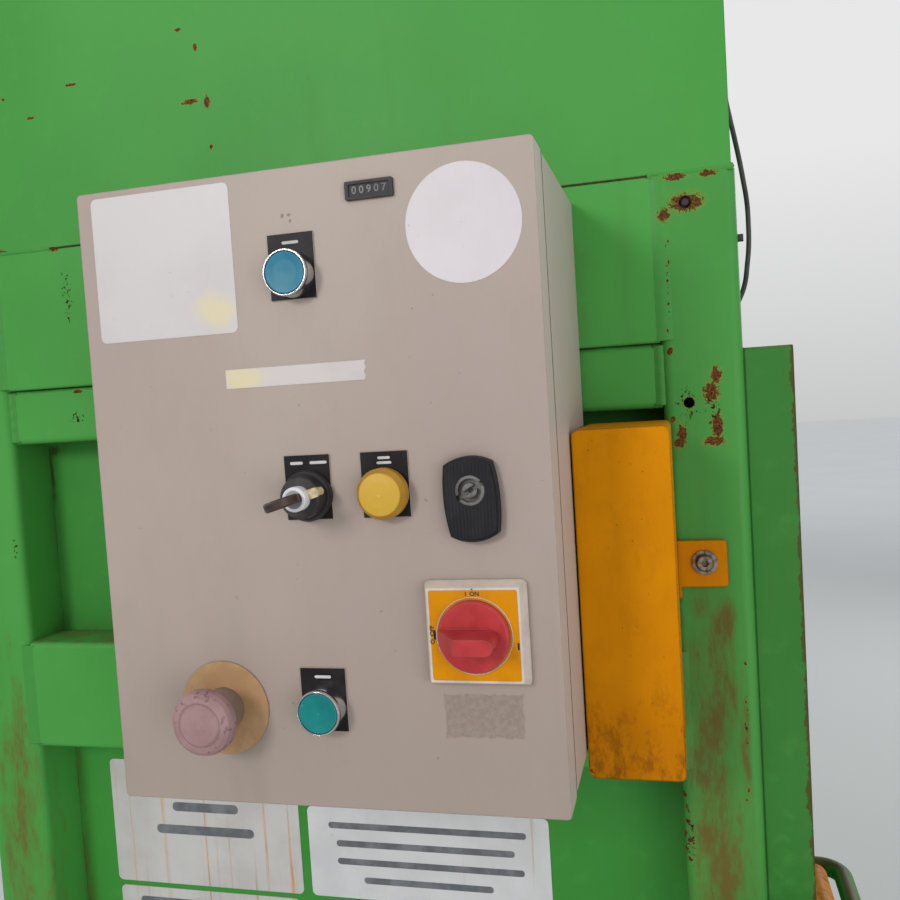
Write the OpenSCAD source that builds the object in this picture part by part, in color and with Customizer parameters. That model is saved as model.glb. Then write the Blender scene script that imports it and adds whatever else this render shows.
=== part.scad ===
// Vertical recycling baler: welded frame, upper ram housing, two front doors,
// and a control enclosure with its cable guard on the left-hand side wall.
// +Z is up, the front with the doors faces -Y, the control side faces -X.
// The origin is on the floor, at the centre of the four anchor holes.

/* [Frame] */
// Width across the corner posts
body_w = 1100; // [1000:10:1300]
// Depth across the corner posts
body_d = 710; // [690:10:860]
// Size of the square corner posts
post_w = 60; // [50:1:70]
// Wall of the corner posts
post_t = 5; // [3:0.5:8]
// Outer corner radius of the corner posts
post_r = 8; // [4:0.5:10]
// Height of the seam where the upper casing starts
seam_z = 1591; // [1580:1:1640]
// Depth of the side rails, from the outer face to the skin
rail_d = 50; // [40:1:55]
// Height of the horizontal rails
rail_h = 100; // [80:1:120]
// Wall of the rails
rail_t = 4; // [3:0.5:6]
// Outer corner radius of the rails
rail_r = 5; // [2:0.5:8]
// Height of the lowest rail above the floor
rail_z = 80; // [60:1:90]
// Distance between rails
rail_pitch = 350; // [340:1:355]
// Height of the flush header rail under the seam
header_h = 125; // [110:1:140]
// Height of the slim rail under the header
slim_h = 50; // [40:1:60]
// How far the slim rail is set back from the header
slim_back = 4; // [2:0.5:8]
// Thickness of the chamber skins
skin_t = 5; // [3:0.5:8]
// Size of the square foot plates
foot_w = 130; // [120:1:150]
// Thickness of the foot plates
foot_t = 12; // [8:1:20]
// Radius of the floor anchor holes
anchor_r = 9; // [6:0.5:11]
// How far the anchor holes stand outside the posts
anchor_out = 35; // [30:1:45]
// Height of the floor beams
beam_h = 80; // [60:1:85]
// Height of the chamber floor's underside
floor_z = 175; // [170:1:190]
// Thickness of the chamber floor
floor_t = 8; // [5:1:12]

/* [Bale ties] */
// Number of tie channels
tie_n = 3; // [2:1:3]
// Distance between tie channels
tie_pitch = 260; // [250:5:280]
// Width of a tie channel
tie_w = 26; // [20:1:30]

/* [Ram] */
// Height of the platen's underside when it is up
platen_z = 1480; // [1475:1:1490]
// Thickness of the platen's face plate
platen_t = 15; // [12:1:20]
// Depth of the tie grooves in the platen
groove_d = 8; // [4:1:10]
// Gap between the platen and the chamber walls
platen_gap = 10; // [6:1:20]
// Height of the stiffening ribs on the platen
platen_rib = 60; // [40:1:70]
// Stroke of the ram
stroke = 630; // [500:5:635]
// Radius of the piston rod
rod_r = 25; // [18:1:28]
// Outer radius of the cylinder barrel
barrel_r = 55; // [52:1:65]
// Wall of the cylinder barrel
barrel_t = 10; // [6:1:14]
// Radius of the two guide rods
guide_r = 20; // [14:1:24]
// Distance of each guide rod from the cylinder
guide_x = 300; // [220:5:330]
// Running clearance of the sliding parts, on the radius
run_fit = 0.05; // [0.02:0.01:0.1]

/* [Upper casing] */
// Height of the casing above the seam
casing_h = 863; // [855:1:960]
// Sheet thickness of the casing
casing_t = 3; // [2:0.5:4]
// How far the casing is set in from the posts, front and back
casing_in = 3; // [2:0.5:3.5]
// Gap of the seam under the casing
seam_gap = 1; // [1:0.5:4]

/* [Front doors] */
// Depth of the doors
door_d = 35; // [30:1:50]
// Width of the frame bars round each door
door_bar = 40; // [30:1:50]
// Thickness of the door liners
door_t = 5; // [3:0.5:8]
// How far the doors are set in from the sides
door_in = 10; // [6:1:14]
// Bottom of the main door
main_z = 185; // [180:1:195]
// Joint line between the main door and the loading door
split_z = 900; // [880:1:920]
// Top of the loading door
loading_top = 1458; // [1440:1:1460]
// Gap behind and between the doors
door_gap = 1; // [0.5:0.5:3]
// Radius of the hinge pins
pin_r = 10; // [7:0.5:12]
// Outer radius of the hinge eyes
eye_r = 18; // [15:1:18]
// Thickness of one hinge lug
lug_t = 20; // [14:1:26]
// Height of the latch lever on the loading door
loading_latch_z = 990; // [989:1:992]
// Height of the latch lever on the main door
main_latch_z = 545; // [530:5:560]
// Length of the latch lever on the loading door
loading_lever = 86; // [80:1:88]
// Length of the latch lever on the main door
main_lever = 220; // [180:5:240]
// Distance from a latch pivot to its keeper stud
latch_reach = 62; // [60:1:63]
// Clearance of the hooks around the keeper studs
hook_gap = 5; // [4:0.5:6]
// Thickness of the latch levers
latch_t = 12; // [8:1:14]
// Radius of the latch pivots and keeper studs
stud_r = 8; // [6:0.5:9]

/* [Control enclosure] */
// Width of the enclosure
enc_w = 300; // [290:1:320]
// Height of the enclosure
enc_h = 400; // [390:1:420]
// Depth of the enclosure, door included
enc_d = 190; // [170:1:220]
// Height of the enclosure's bottom above the floor
enc_z = 1180; // [1175:1:1185]
// Distance from the machine's front face to the enclosure
enc_setback = 121; // [115:1:130]
// Depth of the enclosure door's folded edge
enc_door_d = 27; // [25:1:28]
// Sheet thickness of the enclosure
sheet_t = 1.5; // [1:0.1:2]
// Corner radius of the enclosure
enc_r = 3; // [2:0.5:5]
// Distance of the door's hinge axis from its side
hinge_in = 6; // [5.8:0.1:6.4]
// Radius of the mounting holes for the 22 mm controls
control_r = 11.2; // [11:0.1:11.5]
// Width of the legend plates
legend_w = 30; // [28:0.5:32]
// Height of the legend plates
legend_h = 40; // [36:0.5:44]
// Thickness of the legend plates
legend_t = 1.2; // [0.8:0.1:2]
// Radius of the push button bezels
bezel_r = 14.5; // [14:0.1:15]
// How far the push buttons stand proud
bezel_out = 13.5; // [12:0.5:15]
// Travel of the push buttons
press = 3; // [2:0.5:3.5]
// Radius of the emergency stop's backing disc
disc_r = 30.5; // [28:0.5:32]
// Radius of the emergency stop's mushroom head
mushroom_r = 20.5; // [18:0.5:22]
// How far the emergency stop stands proud
mushroom_out = 35; // [34:0.5:38]
// Width of the isolator's square plate
isolator_w = 62.5; // [60:0.5:66]
// Thickness of the isolator's square plate
isolator_t = 10; // [8:1:14]
// Radius of the isolator's knob
knob_r = 21.5; // [18:0.5:25]
// How far the isolator's grip stands proud
grip_out = 37; // [30:1:40]
// Radius of the amber lamp's lens
lens_r = 15.5; // [15:0.5:17]
// Height of the lock cover
lock_h = 50.6; // [46:0.1:54]
// Width of the lock cover at its middle
lock_w = 33; // [30:0.1:34]

/* [Cable guard] */
// Width of the cable guard
guard_w = 65; // [60:1:66]
// Height of the cable guard
guard_h = 240.5; // [220:0.5:250]
// Depth of the cable guard
guard_d = 99; // [80:1:120]
// Sheet thickness of the cable guard
guard_t = 2; // [1.5:0.1:3]
// Height of the guard's fixing tab
tab_h = 36; // [30:1:40]
// Width of the guard's fixing tab
tab_w = 37; // [34:1:38]

/* [Hidden] */
$fn = 64;

// Colours of the finishes
green = [0.29, 0.60, 0.28];
dark_green = [0.18, 0.46, 0.20];
beige = [0.67, 0.63, 0.58];
amber = [0.80, 0.52, 0.05];
steel = [0.62, 0.63, 0.65];
zinc = [0.72, 0.72, 0.70];
black = [0.12, 0.12, 0.13];
chrome_c = [0.80, 0.81, 0.83];
cream = [0.84, 0.78, 0.74];

// Frame planes
hx = body_w / 2;
hy = body_d / 2;
post_x = hx - post_w / 2;
post_y = hy - post_w / 2;
inner_x = hx - post_w;
inner_y = hy - post_w;
skin_x = hx - rail_d;
rear_skin_y = hy - rail_d;
header_z = seam_z - header_h;
slim_z = header_z - slim_h;
rail_zs = [for (i = [0:3]) rail_z + i * rail_pitch];
tie_xs = [for (i = [0:tie_n - 1]) (i - (tie_n - 1) / 2) * tie_pitch];
foot_x = post_x + (foot_w - post_w) / 2;
anchor_x = hx + anchor_out;
eps = 0.01;
seat = 0.3;

// Ram and housing
beam_w = 60;
beam_y = 100;
beam_top = seam_z + rail_h;
bed_t = 20;
bed_z = beam_top + bed_t;
flange_h = 22;
gland_top = bed_z + 40;
piston_h = 40;
bore_r = barrel_r - barrel_t;
piston_z = gland_top + 5 + stroke;
bore_top = piston_z + piston_h + 5;
cap_top = bore_top + 15;
rod_z = platen_z + platen_t + 15;
bush_top = bed_z + 30;
casing_z = seam_z + seam_gap;
casing_top_z = seam_z + casing_h;
casing_y = hy - casing_in;
platen_x = inner_x - platen_gap;
platen_y = inner_y - platen_gap;
port_low = gland_top + 12;
port_high = bore_top - 12;
tank_x = 150;
tank_side = 40;
tank_w = hx - tank_side - tank_x;
tank_y = beam_y + beam_w / 2 + 5;
tank_back = 27;
tank_d = casing_y - tank_back - tank_y;
tank_h = 230;
tank_top = seam_z + tank_h;
valve_x = 190;
valve_y = tank_y + tank_d / 2;
valve_h = 60;
filler_x = 135;
motor_r = 72;
motor_h = 250;
louvre_w = 300;
bush_cut = bush_top - seam_z + 50;
shelf_x = skin_x - skin_t - seat;
pipe_r = 7.5;
pipe_bend = 30;

// Doors
door_x = hx - door_in;
door_y0 = -hy - door_gap;
door_front = door_y0 - door_d;
hinge_x = hx + eye_r;
hinge_y = -hy - 22;
latch_x = -door_x + door_bar * 0.625;
latch_y = door_front - seat;
keeper_x = latch_x - latch_reach;
hub_r = 20;
hook_r = latch_reach + stud_r + hook_gap + 11;
grip_r = 11;
grip_x = hub_r + 4;
pull_l = 150;
pull_out = 55;

// Enclosure: panel frame has x to the right, y into the wall and z up
enc_y0 = -hy + enc_setback + enc_w;
body_front = enc_door_d + 5;
body_in = 0.5;
lip_side = 14;
lip_end = 8;
lip_front = enc_door_d - 6;
axis_y = enc_door_d - 4;
enc_lug_t = 5;
enc_hinge_zs = [60, enc_h - 60];
knuckle_r = 3.5;
small_pin = 2;
start_x = 147.5;
start_hi = 335;
start_lo_x = 148.5;
start_lo = 65;
key_x = 148;
key_z = 199;
key_lean = 16.5;
lamp_x = 198.3;
estop_x = 79;
estop_z = 63;
isolator_x = 250;
isolator_z = 113.5;
counter_x = 200.3;
counter_z = 380.5;
lock_x = 252;
lock_z = 199;
lock_mid = lock_z - 5.3;
cap_r = 12.7;
plunger_r = 6;
wall_y = enc_d;
bolt_xs = [25, enc_w - 25];
bolt_zs = [25, enc_h - 25];
bolt_r = 4;
bolt_fit = 0.3;
guard_x = enc_w + 0.8;
guard_z = -13.5;
guard_right = guard_x + guard_w;
tab_z = 98;
tab_bolt_x = guard_right + 20;
tab_bolt_z = tab_z + tab_h / 2 + 1;
tab_t = 3;
tab_step = 2.5;
tab_r = 3;
hole_upper = [384, 389];
hole_lower = [380, 239];
gland_y = 140;
gland_zs = [50, 110];

// Slack cable down the front: distance out from the machine's middle, and height
cord_r = 2.1;
cord_fit = 0.25;
cord_x = -440;
cord_route = [[-341, 1850], [-356, 1850], [-371, 1850], [-380, 1849], [-388, 1845],
  [-393, 1838], [-394, 1829], [-391, 1818], [-385, 1806], [-377, 1795], [-368, 1784],
  [-361, 1772], [-357, 1758], [-355.5, 1742], [-355.5, 1726], [-355.5, 1710], [-355.5, 1692],
  [-357, 1673], [-360, 1655], [-363, 1638], [-366, 1620], [-368.5, 1602], [-370.5, 1585],
  [-371, 1566], [-370.5, 1548], [-368.5, 1531], [-366, 1516], [-361, 1503], [-355, 1493],
  [-348, 1486], [-341, 1479]];
clip_point = 16;
boot_point = len(cord_route) - 2;

// Plain helpers

module rounded(w, h, r) {
  square([w - 2 * r, h], center = true);
  square([w, h - 2 * r], center = true);
  for (sx = [-1, 1], sy = [-1, 1])
    translate([sx * (w / 2 - r), sy * (h / 2 - r)]) circle(r);
}

// Hollow section standing up, centred on the axis
module hollow(w, h, l, t, r) {
  linear_extrude(l) difference() {
    rounded(w, h, r);
    rounded(w - 2 * t, h - 2 * t, max(r - t, 1));
  }
}

// Hollow section along X, w deep in Y and h high in Z
module hollow_x(w, h, l, t, r) rotate([90, 0, 90]) translate([0, 0, -l / 2]) hollow(w, h, l, t, r);

// Hollow section along Y, w wide in X and h high in Z
module hollow_y(w, h, l, t, r) rotate([90, 0, 0]) translate([0, 0, -l / 2]) hollow(w, h, l, t, r);

module block(x0, x1, y0, y1, z0, z1) translate([x0, y0, z0]) cube([x1 - x0, y1 - y0, z1 - z0]);

// Puts its children in the enclosure's panel frame
module panel() translate([-hx - enc_d, enc_y0, enc_z]) rotate([0, 0, -90]) children();

// Puts its children on the panel's face, with their z pointing out of the panel
module on_panel(x, z) panel() translate([x, 0, z]) rotate([90, 0, 0]) children();

// Rounded slab in the panel frame, from y0 to y1, set in by dx at the sides and dz at the ends
module slab(dx, dz, y0, y1, r) {
  translate([enc_w / 2, y1, enc_h / 2]) rotate([90, 0, 0])
    linear_extrude(y1 - y0) rounded(enc_w - 2 * dx, enc_h - 2 * dz, r);
}

// A pipe of straight runs with an elbow at each corner
module pipe(route, r, bend) {
  n = len(route);
  for (i = [0:n - 2]) {
    a = route[i];
    b = route[i + 1];
    run = norm(b - a);
    dir = (b - a) / run;
    cut_a = i == 0 ? 0 : bend;
    cut_b = i == n - 2 ? 0 : bend;
    translate(a + dir * cut_a) along(dir) cylinder(r = r, h = run - cut_a - cut_b);
  }
  for (i = [1:n - 2]) {
    d_in = (route[i] - route[i - 1]) / norm(route[i] - route[i - 1]);
    d_out = (route[i + 1] - route[i]) / norm(route[i + 1] - route[i]);
    u = -d_out;
    w = cross(u, d_in);
    c = route[i] - d_in * bend + d_out * bend;
    multmatrix([[u[0], d_in[0], w[0], c[0]], [u[1], d_in[1], w[1], c[1]],
      [u[2], d_in[2], w[2], c[2]], [0, 0, 0, 1]])
      rotate_extrude(angle = 90) translate([bend, 0]) circle(r);
  }
}

// Turns its children's z axis to point along a row axis
module along(dir) {
  tilt = acos(dir[2]);
  turn = atan2(dir[1], dir[0]);
  rotate([0, tilt, turn]) children();
}

// A cord swept along points in a plane of constant x
module cord(points, x, r, sides) {
  n = len(points);
  function heading(i) = let (a = points[max(i - 1, 0)], b = points[min(i + 1, n - 1)])
    (b - a) / norm(b - a);
  ring = [for (i = [0:n - 1], j = [0:sides - 1])
    let (h = heading(i), c = r * cos(360 * j / sides), s = r * sin(360 * j / sides))
    [x + c, points[i][0] - h[1] * s, points[i][1] + h[0] * s]];
  walls = [for (i = [0:n - 2], j = [0:sides - 1])
    let (k = (j + 1) % sides)
    [i * sides + j, i * sides + k, (i + 1) * sides + k, (i + 1) * sides + j]];
  start = [for (j = [sides - 1:-1:0]) j];
  end = [for (j = [0:sides - 1]) (n - 1) * sides + j];
  polyhedron(ring, concat(walls, [start, end]), convexity = 4);
}

// Frame

module base_frame() color(dark_green) {
  for (sx = [-1, 1], sy = [-1, 1]) difference() {
    translate([sx * foot_x, sy * post_y, 0]) linear_extrude(foot_t) rounded(foot_w, foot_w, 10);
    translate([sx * anchor_x, sy * post_y, -1]) cylinder(r = anchor_r, h = foot_t + 2);
  }
  translate([0, -post_y, floor_z - beam_h / 2]) hollow_x(post_w, beam_h, 2 * inner_x, rail_t, rail_r);
  beam_back = rear_skin_y - skin_t;
  for (sx = [-1, 1])
    translate([sx * inner_x * 0.4, (beam_back - inner_y) / 2, floor_z - beam_h / 2])
      hollow_y(rail_d, beam_h, beam_back + inner_y, rail_t, rail_r);
}

module post(sx, sy) translate([sx * post_x, sy * post_y, foot_t])
  hollow(post_w, post_w, seam_z - foot_t, post_t, post_r);

// Drills the wall facing the control side at a place given in the panel frame
module wall_hole(x, z, r) panel() translate([x, wall_y - 1, z]) rotate([-90, 0, 0])
  cylinder(r = r, h = post_t + 3);

module front_left_post() color(green) difference() {
  post(-1, -1);
  wall_hole(hole_upper[0], hole_upper[1], 4.5);
  wall_hole(hole_lower[0], hole_lower[1], 4);
  wall_hole(tab_bolt_x, tab_bolt_z, bolt_r + bolt_fit);
}

module front_right_post() color(green) post(1, -1);

module rear_posts() color(green) {
  post(-1, 1);
  post(1, 1);
}

module side_rails(sx) {
  for (z = rail_zs)
    translate([sx * (hx - rail_d / 2), 0, z + rail_h / 2])
      hollow_y(rail_d, rail_h, 2 * inner_y, rail_t, rail_r);
  translate([sx * (hx - slim_back - (rail_d - slim_back) / 2), 0, slim_z + slim_h / 2])
    hollow_y(rail_d - slim_back, slim_h, 2 * inner_y, rail_t, rail_r);
}

module enclosure_drill() for (x = bolt_xs, z = bolt_zs)
  panel() translate([x, wall_y - 4, z]) rotate([-90, 0, 0]) cylinder(r = bolt_r + bolt_fit, h = 12);

module left_rails() color(green) difference() {
  side_rails(-1);
  enclosure_drill();
}

module right_rails() color(green) side_rails(1);

module rear_rails() color(green) for (z = rail_zs)
  translate([0, hy - rail_d / 2, z + rail_h / 2]) hollow_x(rail_d, rail_h, 2 * inner_x, rail_t, rail_r);

// The lower end of the slack cable leans into a boot in the front header
boot_at = cord_route[boot_point];
boot_next = cord_route[boot_point + 1];
boot_lean = atan2(boot_next[0] - boot_at[0], boot_at[1] - boot_next[1]);
boot_r = 6;

module boot_axis() translate([cord_x, boot_at[0], boot_at[1]]) rotate([boot_lean, 0, 0]) children();

module top_ring() color(green) {
  difference() {
    translate([-hx + rail_d / 2, 0, header_z + header_h / 2])
      hollow_y(rail_d, header_h, 2 * inner_y, rail_t, 2);
    enclosure_drill();
  }
  translate([hx - rail_d / 2, 0, header_z + header_h / 2])
    hollow_y(rail_d, header_h, 2 * inner_y, rail_t, 2);
  difference() {
    translate([0, -post_y, header_z + header_h / 2])
      hollow_x(post_w, header_h, 2 * inner_x, rail_t, rail_r);
    boot_axis() translate([0, 0, -12]) cylinder(r = boot_r, h = 40);
  }
  translate([0, hy - rail_d / 2, header_z + header_h / 2])
    hollow_x(rail_d, header_h, 2 * inner_x, rail_t, rail_r);
}

module side_skins() color(dark_green) for (sx = [-1, 1])
  translate([sx * (skin_x - skin_t / 2), 0, rail_z + (seam_z - rail_z) / 2])
    cube([skin_t, 2 * inner_y, seam_z - rail_z], center = true);

module rear_skin() color(dark_green) difference() {
  block(-inner_x, inner_x, rear_skin_y - skin_t, rear_skin_y, rail_z, seam_z);
  for (x = tie_xs, i = [0:1]) translate([x, rear_skin_y + 1, rail_zs[i] + (rail_pitch + rail_h) / 2])
    rotate([90, 0, 0]) linear_extrude(skin_t + 2)
      rounded(tie_w, rail_pitch - rail_h - 40, tie_w / 2 - eps);
}

module chamber_floor() color(dark_green) difference() {
  block(-inner_x + 1, inner_x - 1, -hy + 1, rear_skin_y - skin_t - seat, floor_z, floor_z + floor_t);
  for (x = tie_xs) translate([x, -20, floor_z - 1]) linear_extrude(floor_t + 2)
    rounded(tie_w, 2 * inner_y - 60, tie_w / 2 - eps);
}

// Upper casing

module casing_side(sx) mirror([sx < 0 ? 0 : 1, 0, 0]) {
  block(-hx, -hx + casing_t, -casing_y, casing_y, casing_z, casing_top_z - casing_t);
  for (sy = [-1, 1]) mirror([0, sy < 0 ? 0 : 1, 0])
    block(-hx + casing_t - eps, -hx + 30, -casing_y + casing_t + 0.5, -casing_y + 2 * casing_t + 0.5,
      casing_z, casing_top_z - casing_t);
}

module casing_left() color(green) casing_side(-1);

module casing_right() color(green) casing_side(1);

module casing_cover(z0) block(-hx + casing_t + 1, hx - casing_t - 1, -casing_y + 0.5,
  -casing_y + casing_t + 0.5, z0, casing_top_z - casing_t);

module casing_front() color(green) difference() {
  casing_cover(casing_z);
  translate([cord_x, -casing_y - 1, cord_route[0][1]]) rotate([-90, 0, 0]) cylinder(r = 8, h = 8);
}

module casing_rear() color(green) difference() {
  mirror([0, 1, 0]) casing_cover(casing_z);
  for (i = [0:5]) translate([0, casing_y + 1, casing_top_z - 160 - i * 24]) rotate([90, 0, 0])
    linear_extrude(casing_t + 4) rounded(louvre_w, 10, 5 - eps);
}

module casing_top() color(green)
  block(-hx, hx, -casing_y, casing_y, casing_top_z - casing_t, casing_top_z);

// Ram

module crosshead() color(dark_green) difference() {
  union() {
    for (sy = [-1, 1]) translate([0, sy * beam_y, seam_z + rail_h / 2])
      hollow_x(beam_w, rail_h, 2 * (hx - casing_t - 1), rail_t * 2, rail_r);
    block(-guide_x - 60, guide_x + 60, -beam_y - beam_w / 2, beam_y + beam_w / 2, beam_top, bed_z);
    for (sx = [-1, 1]) translate([sx * guide_x, 0, seam_z + 20])
      cylinder(r = guide_r + 12, h = bush_top - seam_z - 20);
    block(tank_x, shelf_x, beam_y + beam_w / 2 - eps, beam_y + beam_w / 2 + 45, seam_z - 6, seam_z);
    block(tank_x, shelf_x, beam_y + beam_w / 2 - eps, tank_y - 1, seam_z - 6, seam_z + 50);
  }
  translate([0, 0, seam_z]) cylinder(r = rod_r + 19.1, h = bush_cut);
  for (sx = [-1, 1]) translate([sx * guide_x, 0, seam_z])
    cylinder(r = guide_r + run_fit, h = bush_cut);
}

module cylinder_barrel() color(steel) {
  rotate_extrude() polygon([
    [rod_r + run_fit, bed_z - 50], [rod_r + 19, bed_z - 50], [rod_r + 19, bed_z],
    [barrel_r + 35, bed_z], [barrel_r + 35, bed_z + flange_h], [barrel_r, bed_z + flange_h],
    [barrel_r, cap_top], [0, cap_top], [0, bore_top], [bore_r, bore_top],
    [bore_r, gland_top], [rod_r + run_fit, gland_top]]);
  for (z = [port_low, port_high]) translate([0, barrel_r - 3, z]) rotate([-90, 0, 0])
    cylinder(r = 13, h = 20);
  for (i = [0:5]) rotate([0, 0, 30 + i * 60]) translate([barrel_r + 22, 0, bed_z + flange_h - eps])
    cylinder(r = 8, h = 9, $fn = 6);
}

module piston_rod() color(chrome_c) rotate_extrude() polygon([
  [0, rod_z], [rod_r, rod_z], [rod_r, piston_z], [bore_r - 0.07, piston_z],
  [bore_r - 0.07, piston_z + piston_h], [0, piston_z + piston_h]]);

module platen() color(dark_green) difference() {
  union() {
    block(-platen_x, platen_x, -platen_y, platen_y, platen_z, platen_z + platen_t);
    for (sy = [-1, 1]) {
      block(-platen_x + 40, platen_x - 40, sy * beam_y - 15, sy * beam_y + 15,
        platen_z + platen_t - eps, platen_z + platen_t + platen_rib);
      block(-platen_x, platen_x, sy * (platen_y - 5) - 5, sy * (platen_y - 5) + 5,
        platen_z + platen_t - eps, platen_z + platen_t + platen_rib);
    }
    for (x = [-platen_x + 5, -guide_x - 60, guide_x + 60, platen_x - 5])
      block(x - 5, x + 5, -platen_y + 5, platen_y - 5, platen_z + platen_t - eps,
        platen_z + platen_t + platen_rib);
    translate([0, 0, platen_z + platen_t - eps]) cylinder(r = rod_r + 30, h = platen_rib);
    block(-20, 20, -beam_y, beam_y, platen_z + platen_t - eps, platen_z + platen_t + platen_rib * 0.7);
    for (sx = [-1, 1]) translate([sx * guide_x, 0, platen_z + platen_t - eps])
      cylinder(r = guide_r + 14, h = 20);
  }
  translate([0, 0, rod_z]) cylinder(r = rod_r + run_fit, h = 200);
  for (sx = [-1, 1]) translate([sx * guide_x, 0, platen_z + platen_t]) cylinder(r = guide_r + run_fit, h = 50);
  for (x = tie_xs) block(x - tie_w / 2, x + tie_w / 2, -platen_y - 1, platen_y + 1,
    platen_z - 1, platen_z + groove_d);
}

module guide_rods() color(chrome_c) for (sx = [-1, 1])
  translate([sx * guide_x, 0, platen_z + platen_t])
    cylinder(r = guide_r, h = bush_top + stroke + 30 - platen_z - platen_t);

// Power pack

module oil_tank() color(black) {
  translate([tank_x + tank_w / 2, valve_y, seam_z]) linear_extrude(tank_h) rounded(tank_w, tank_d, 12);
  translate([tank_x + filler_x, tank_y + 28, tank_top - eps]) cylinder(r = 18, h = 26);
}

module pump_motor() color(steel) translate([tank_x + tank_w - 110, valve_y, tank_top]) {
  cylinder(r = motor_r + 18, h = 16);
  cylinder(r = motor_r, h = motor_h);
  for (i = [0:11]) rotate([0, 0, i * 30]) translate([motor_r - 2, -2, 30]) cube([12, 4, motor_h - 80]);
  translate([0, 0, motor_h - 45]) cylinder(r = motor_r + 12, h = 55);
  translate([-20, -100, 90]) cube([70, 50, 80]);
}

module valve_block() color(zinc) translate([valve_x, valve_y, tank_top]) {
  translate([-25, -40, 0]) cube([90, 80, valve_h]);
  for (sy = [-1, 1]) translate([20, sy * 40, valve_h / 2]) rotate([-sy * 90, 0, 0]) cylinder(r = 20, h = 50);
}

module hydraulic_pipes() color(steel) {
  port_y = barrel_r + 17;
  turn_y = valve_y;
  pipe([[valve_x + 40, turn_y, tank_top + valve_h], [valve_x + 40, turn_y, port_high],
    [0, turn_y, port_high], [0, port_y, port_high]], pipe_r, pipe_bend);
  pipe([[valve_x, turn_y, tank_top + valve_h], [valve_x, turn_y, tank_top + 140],
    [0, turn_y, tank_top + 140], [0, turn_y, port_low], [0, port_y, port_low]], pipe_r, pipe_bend);
}

// Front doors

// A door from z0 to z1: liner at the back, frame bars and a cross rib in front
module front_door(z0, z1, latch_z, slots) {
  h = z1 - z0;
  bay = (h - door_bar * 3) / 2;
  bay_zs = [z0 + door_bar, z0 + 2 * door_bar + bay];
  difference() {
    translate([0, door_y0, z0 + h / 2]) rotate([90, 0, 0]) linear_extrude(door_d)
      rounded(2 * door_x, h, 5);
    for (z = bay_zs)
      block(-door_x + door_bar, door_x - door_bar, door_front - 1, door_y0 - door_t, z, z + bay);
    for (x = slots, z = bay_zs) translate([x, door_y0 + 1, z + bay / 2]) rotate([90, 0, 0])
      linear_extrude(door_t + 2) rounded(tie_w, bay - 60, tie_w / 2 - eps);
  }
  for (z = [z0 + 90, z1 - 90]) door_lug(z);
  translate([latch_x, door_front + eps, latch_z]) rotate([90, 0, 0]) {
    cylinder(r = stud_r, h = latch_t + 2 * seat + 8);
    translate([0, 0, latch_t + 2 * seat]) cylinder(r = stud_r + 6, h = 8);
  }
}

module door_lug(z) translate([hinge_x, hinge_y, z]) difference() {
  union() {
    cylinder(r = eye_r, h = lug_t);
    translate([door_x - hinge_x - eps, 2 - eye_r, 0]) cube([hinge_x - door_x, 2 * eye_r - 4, lug_t]);
  }
  translate([0, 0, -1]) cylinder(r = pin_r + run_fit, h = lug_t + 2);
}

// A pull handle on a door's bar, its first leg at x
module pull_handle(x, z) translate([x, door_front, z]) rotate([90, 0, 90])
  pipe([[10, 0, 0], [-pull_out, 0, 0], [-pull_out, 0, pull_l], [10, 0, pull_l]], 9, 22);

module loading_door() color(green) {
  front_door(split_z + door_gap, loading_top, loading_latch_z, []);
  pull_handle(-door_x + 110, split_z + door_gap + door_bar / 2);
}

module main_door() color(green) {
  front_door(main_z, split_z - door_gap, main_latch_z, tie_xs);
  pull_handle(latch_x + main_lever + 40, (main_z + split_z - door_gap) / 2);
}

hinge_zs = [main_z + 90, split_z - door_gap - 90, split_z + door_gap + 90, loading_top - 90];

module hinge_lugs() color(green) for (z = hinge_zs)
  translate([hinge_x, hinge_y, z - lug_t - 0.5]) difference() {
    union() {
      cylinder(r = eye_r, h = lug_t);
      linear_extrude(lug_t) polygon([[-eye_r, 0], [eye_r, 0], [eye_r - 6, 40], [-eye_r + 6, 67], [-eye_r, 67]]);
    }
    translate([0, 0, -1]) cylinder(r = pin_r + run_fit, h = lug_t + 2);
  }

module hinge_pins() color(zinc) for (z = hinge_zs)
  translate([hinge_x, hinge_y, z - lug_t - 12]) {
    cylinder(r = pin_r, h = 2 * lug_t + 12 + 6);
    translate([0, 0, 2 * lug_t + 12 + seat]) cylinder(r = pin_r + 4, h = 6);
    cylinder(r = pin_r + 4, h = 11);
  }

// Latch lever at rest, released: hook pointing down, handle along the door
module latch_lever(z, reach) translate([latch_x, latch_y, z]) rotate([90, 0, 0]) {
  linear_extrude(latch_t) difference() {
    union() {
      circle(hub_r);
      translate([-hub_r, -hook_r]) square([2 * hub_r, hook_r]);
      translate([0, -grip_r]) square([reach * 0.6, 2 * grip_r]);
    }
    circle(stud_r + run_fit);
    intersection() {
      difference() {
        circle(latch_reach + stud_r + hook_gap);
        circle(latch_reach - stud_r - hook_gap);
      }
      translate([-hub_r - 1, -hook_r]) square([hub_r + 1, hook_r]);
    }
    translate([0, -latch_reach]) circle(stud_r + hook_gap);
  }
  translate([grip_x, 0, grip_r + 0.5]) rotate([0, 90, 0]) cylinder(r = grip_r, h = reach - grip_x);
}

module loading_latch() color(amber) latch_lever(loading_latch_z, loading_lever);

module main_latch() color(amber) latch_lever(main_latch_z, main_lever);

module latch_keepers() color(green) for (z = [loading_latch_z, main_latch_z]) {
  stud_back = latch_y + 8;
  block(-hx - 12, -hx, stud_back, -hy + 45, z - 28, z + 28);
  block(keeper_x - 22, -hx - 12 + eps, stud_back, stud_back + 12, z - 28, z + 28);
  translate([keeper_x, stud_back + eps, z]) rotate([90, 0, 0]) {
    cylinder(r = stud_r, h = latch_t + 8 + 12);
    translate([0, 0, latch_t + 8 + 1]) cylinder(r = stud_r + 6, h = 11);
  }
}

// Control enclosure

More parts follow.
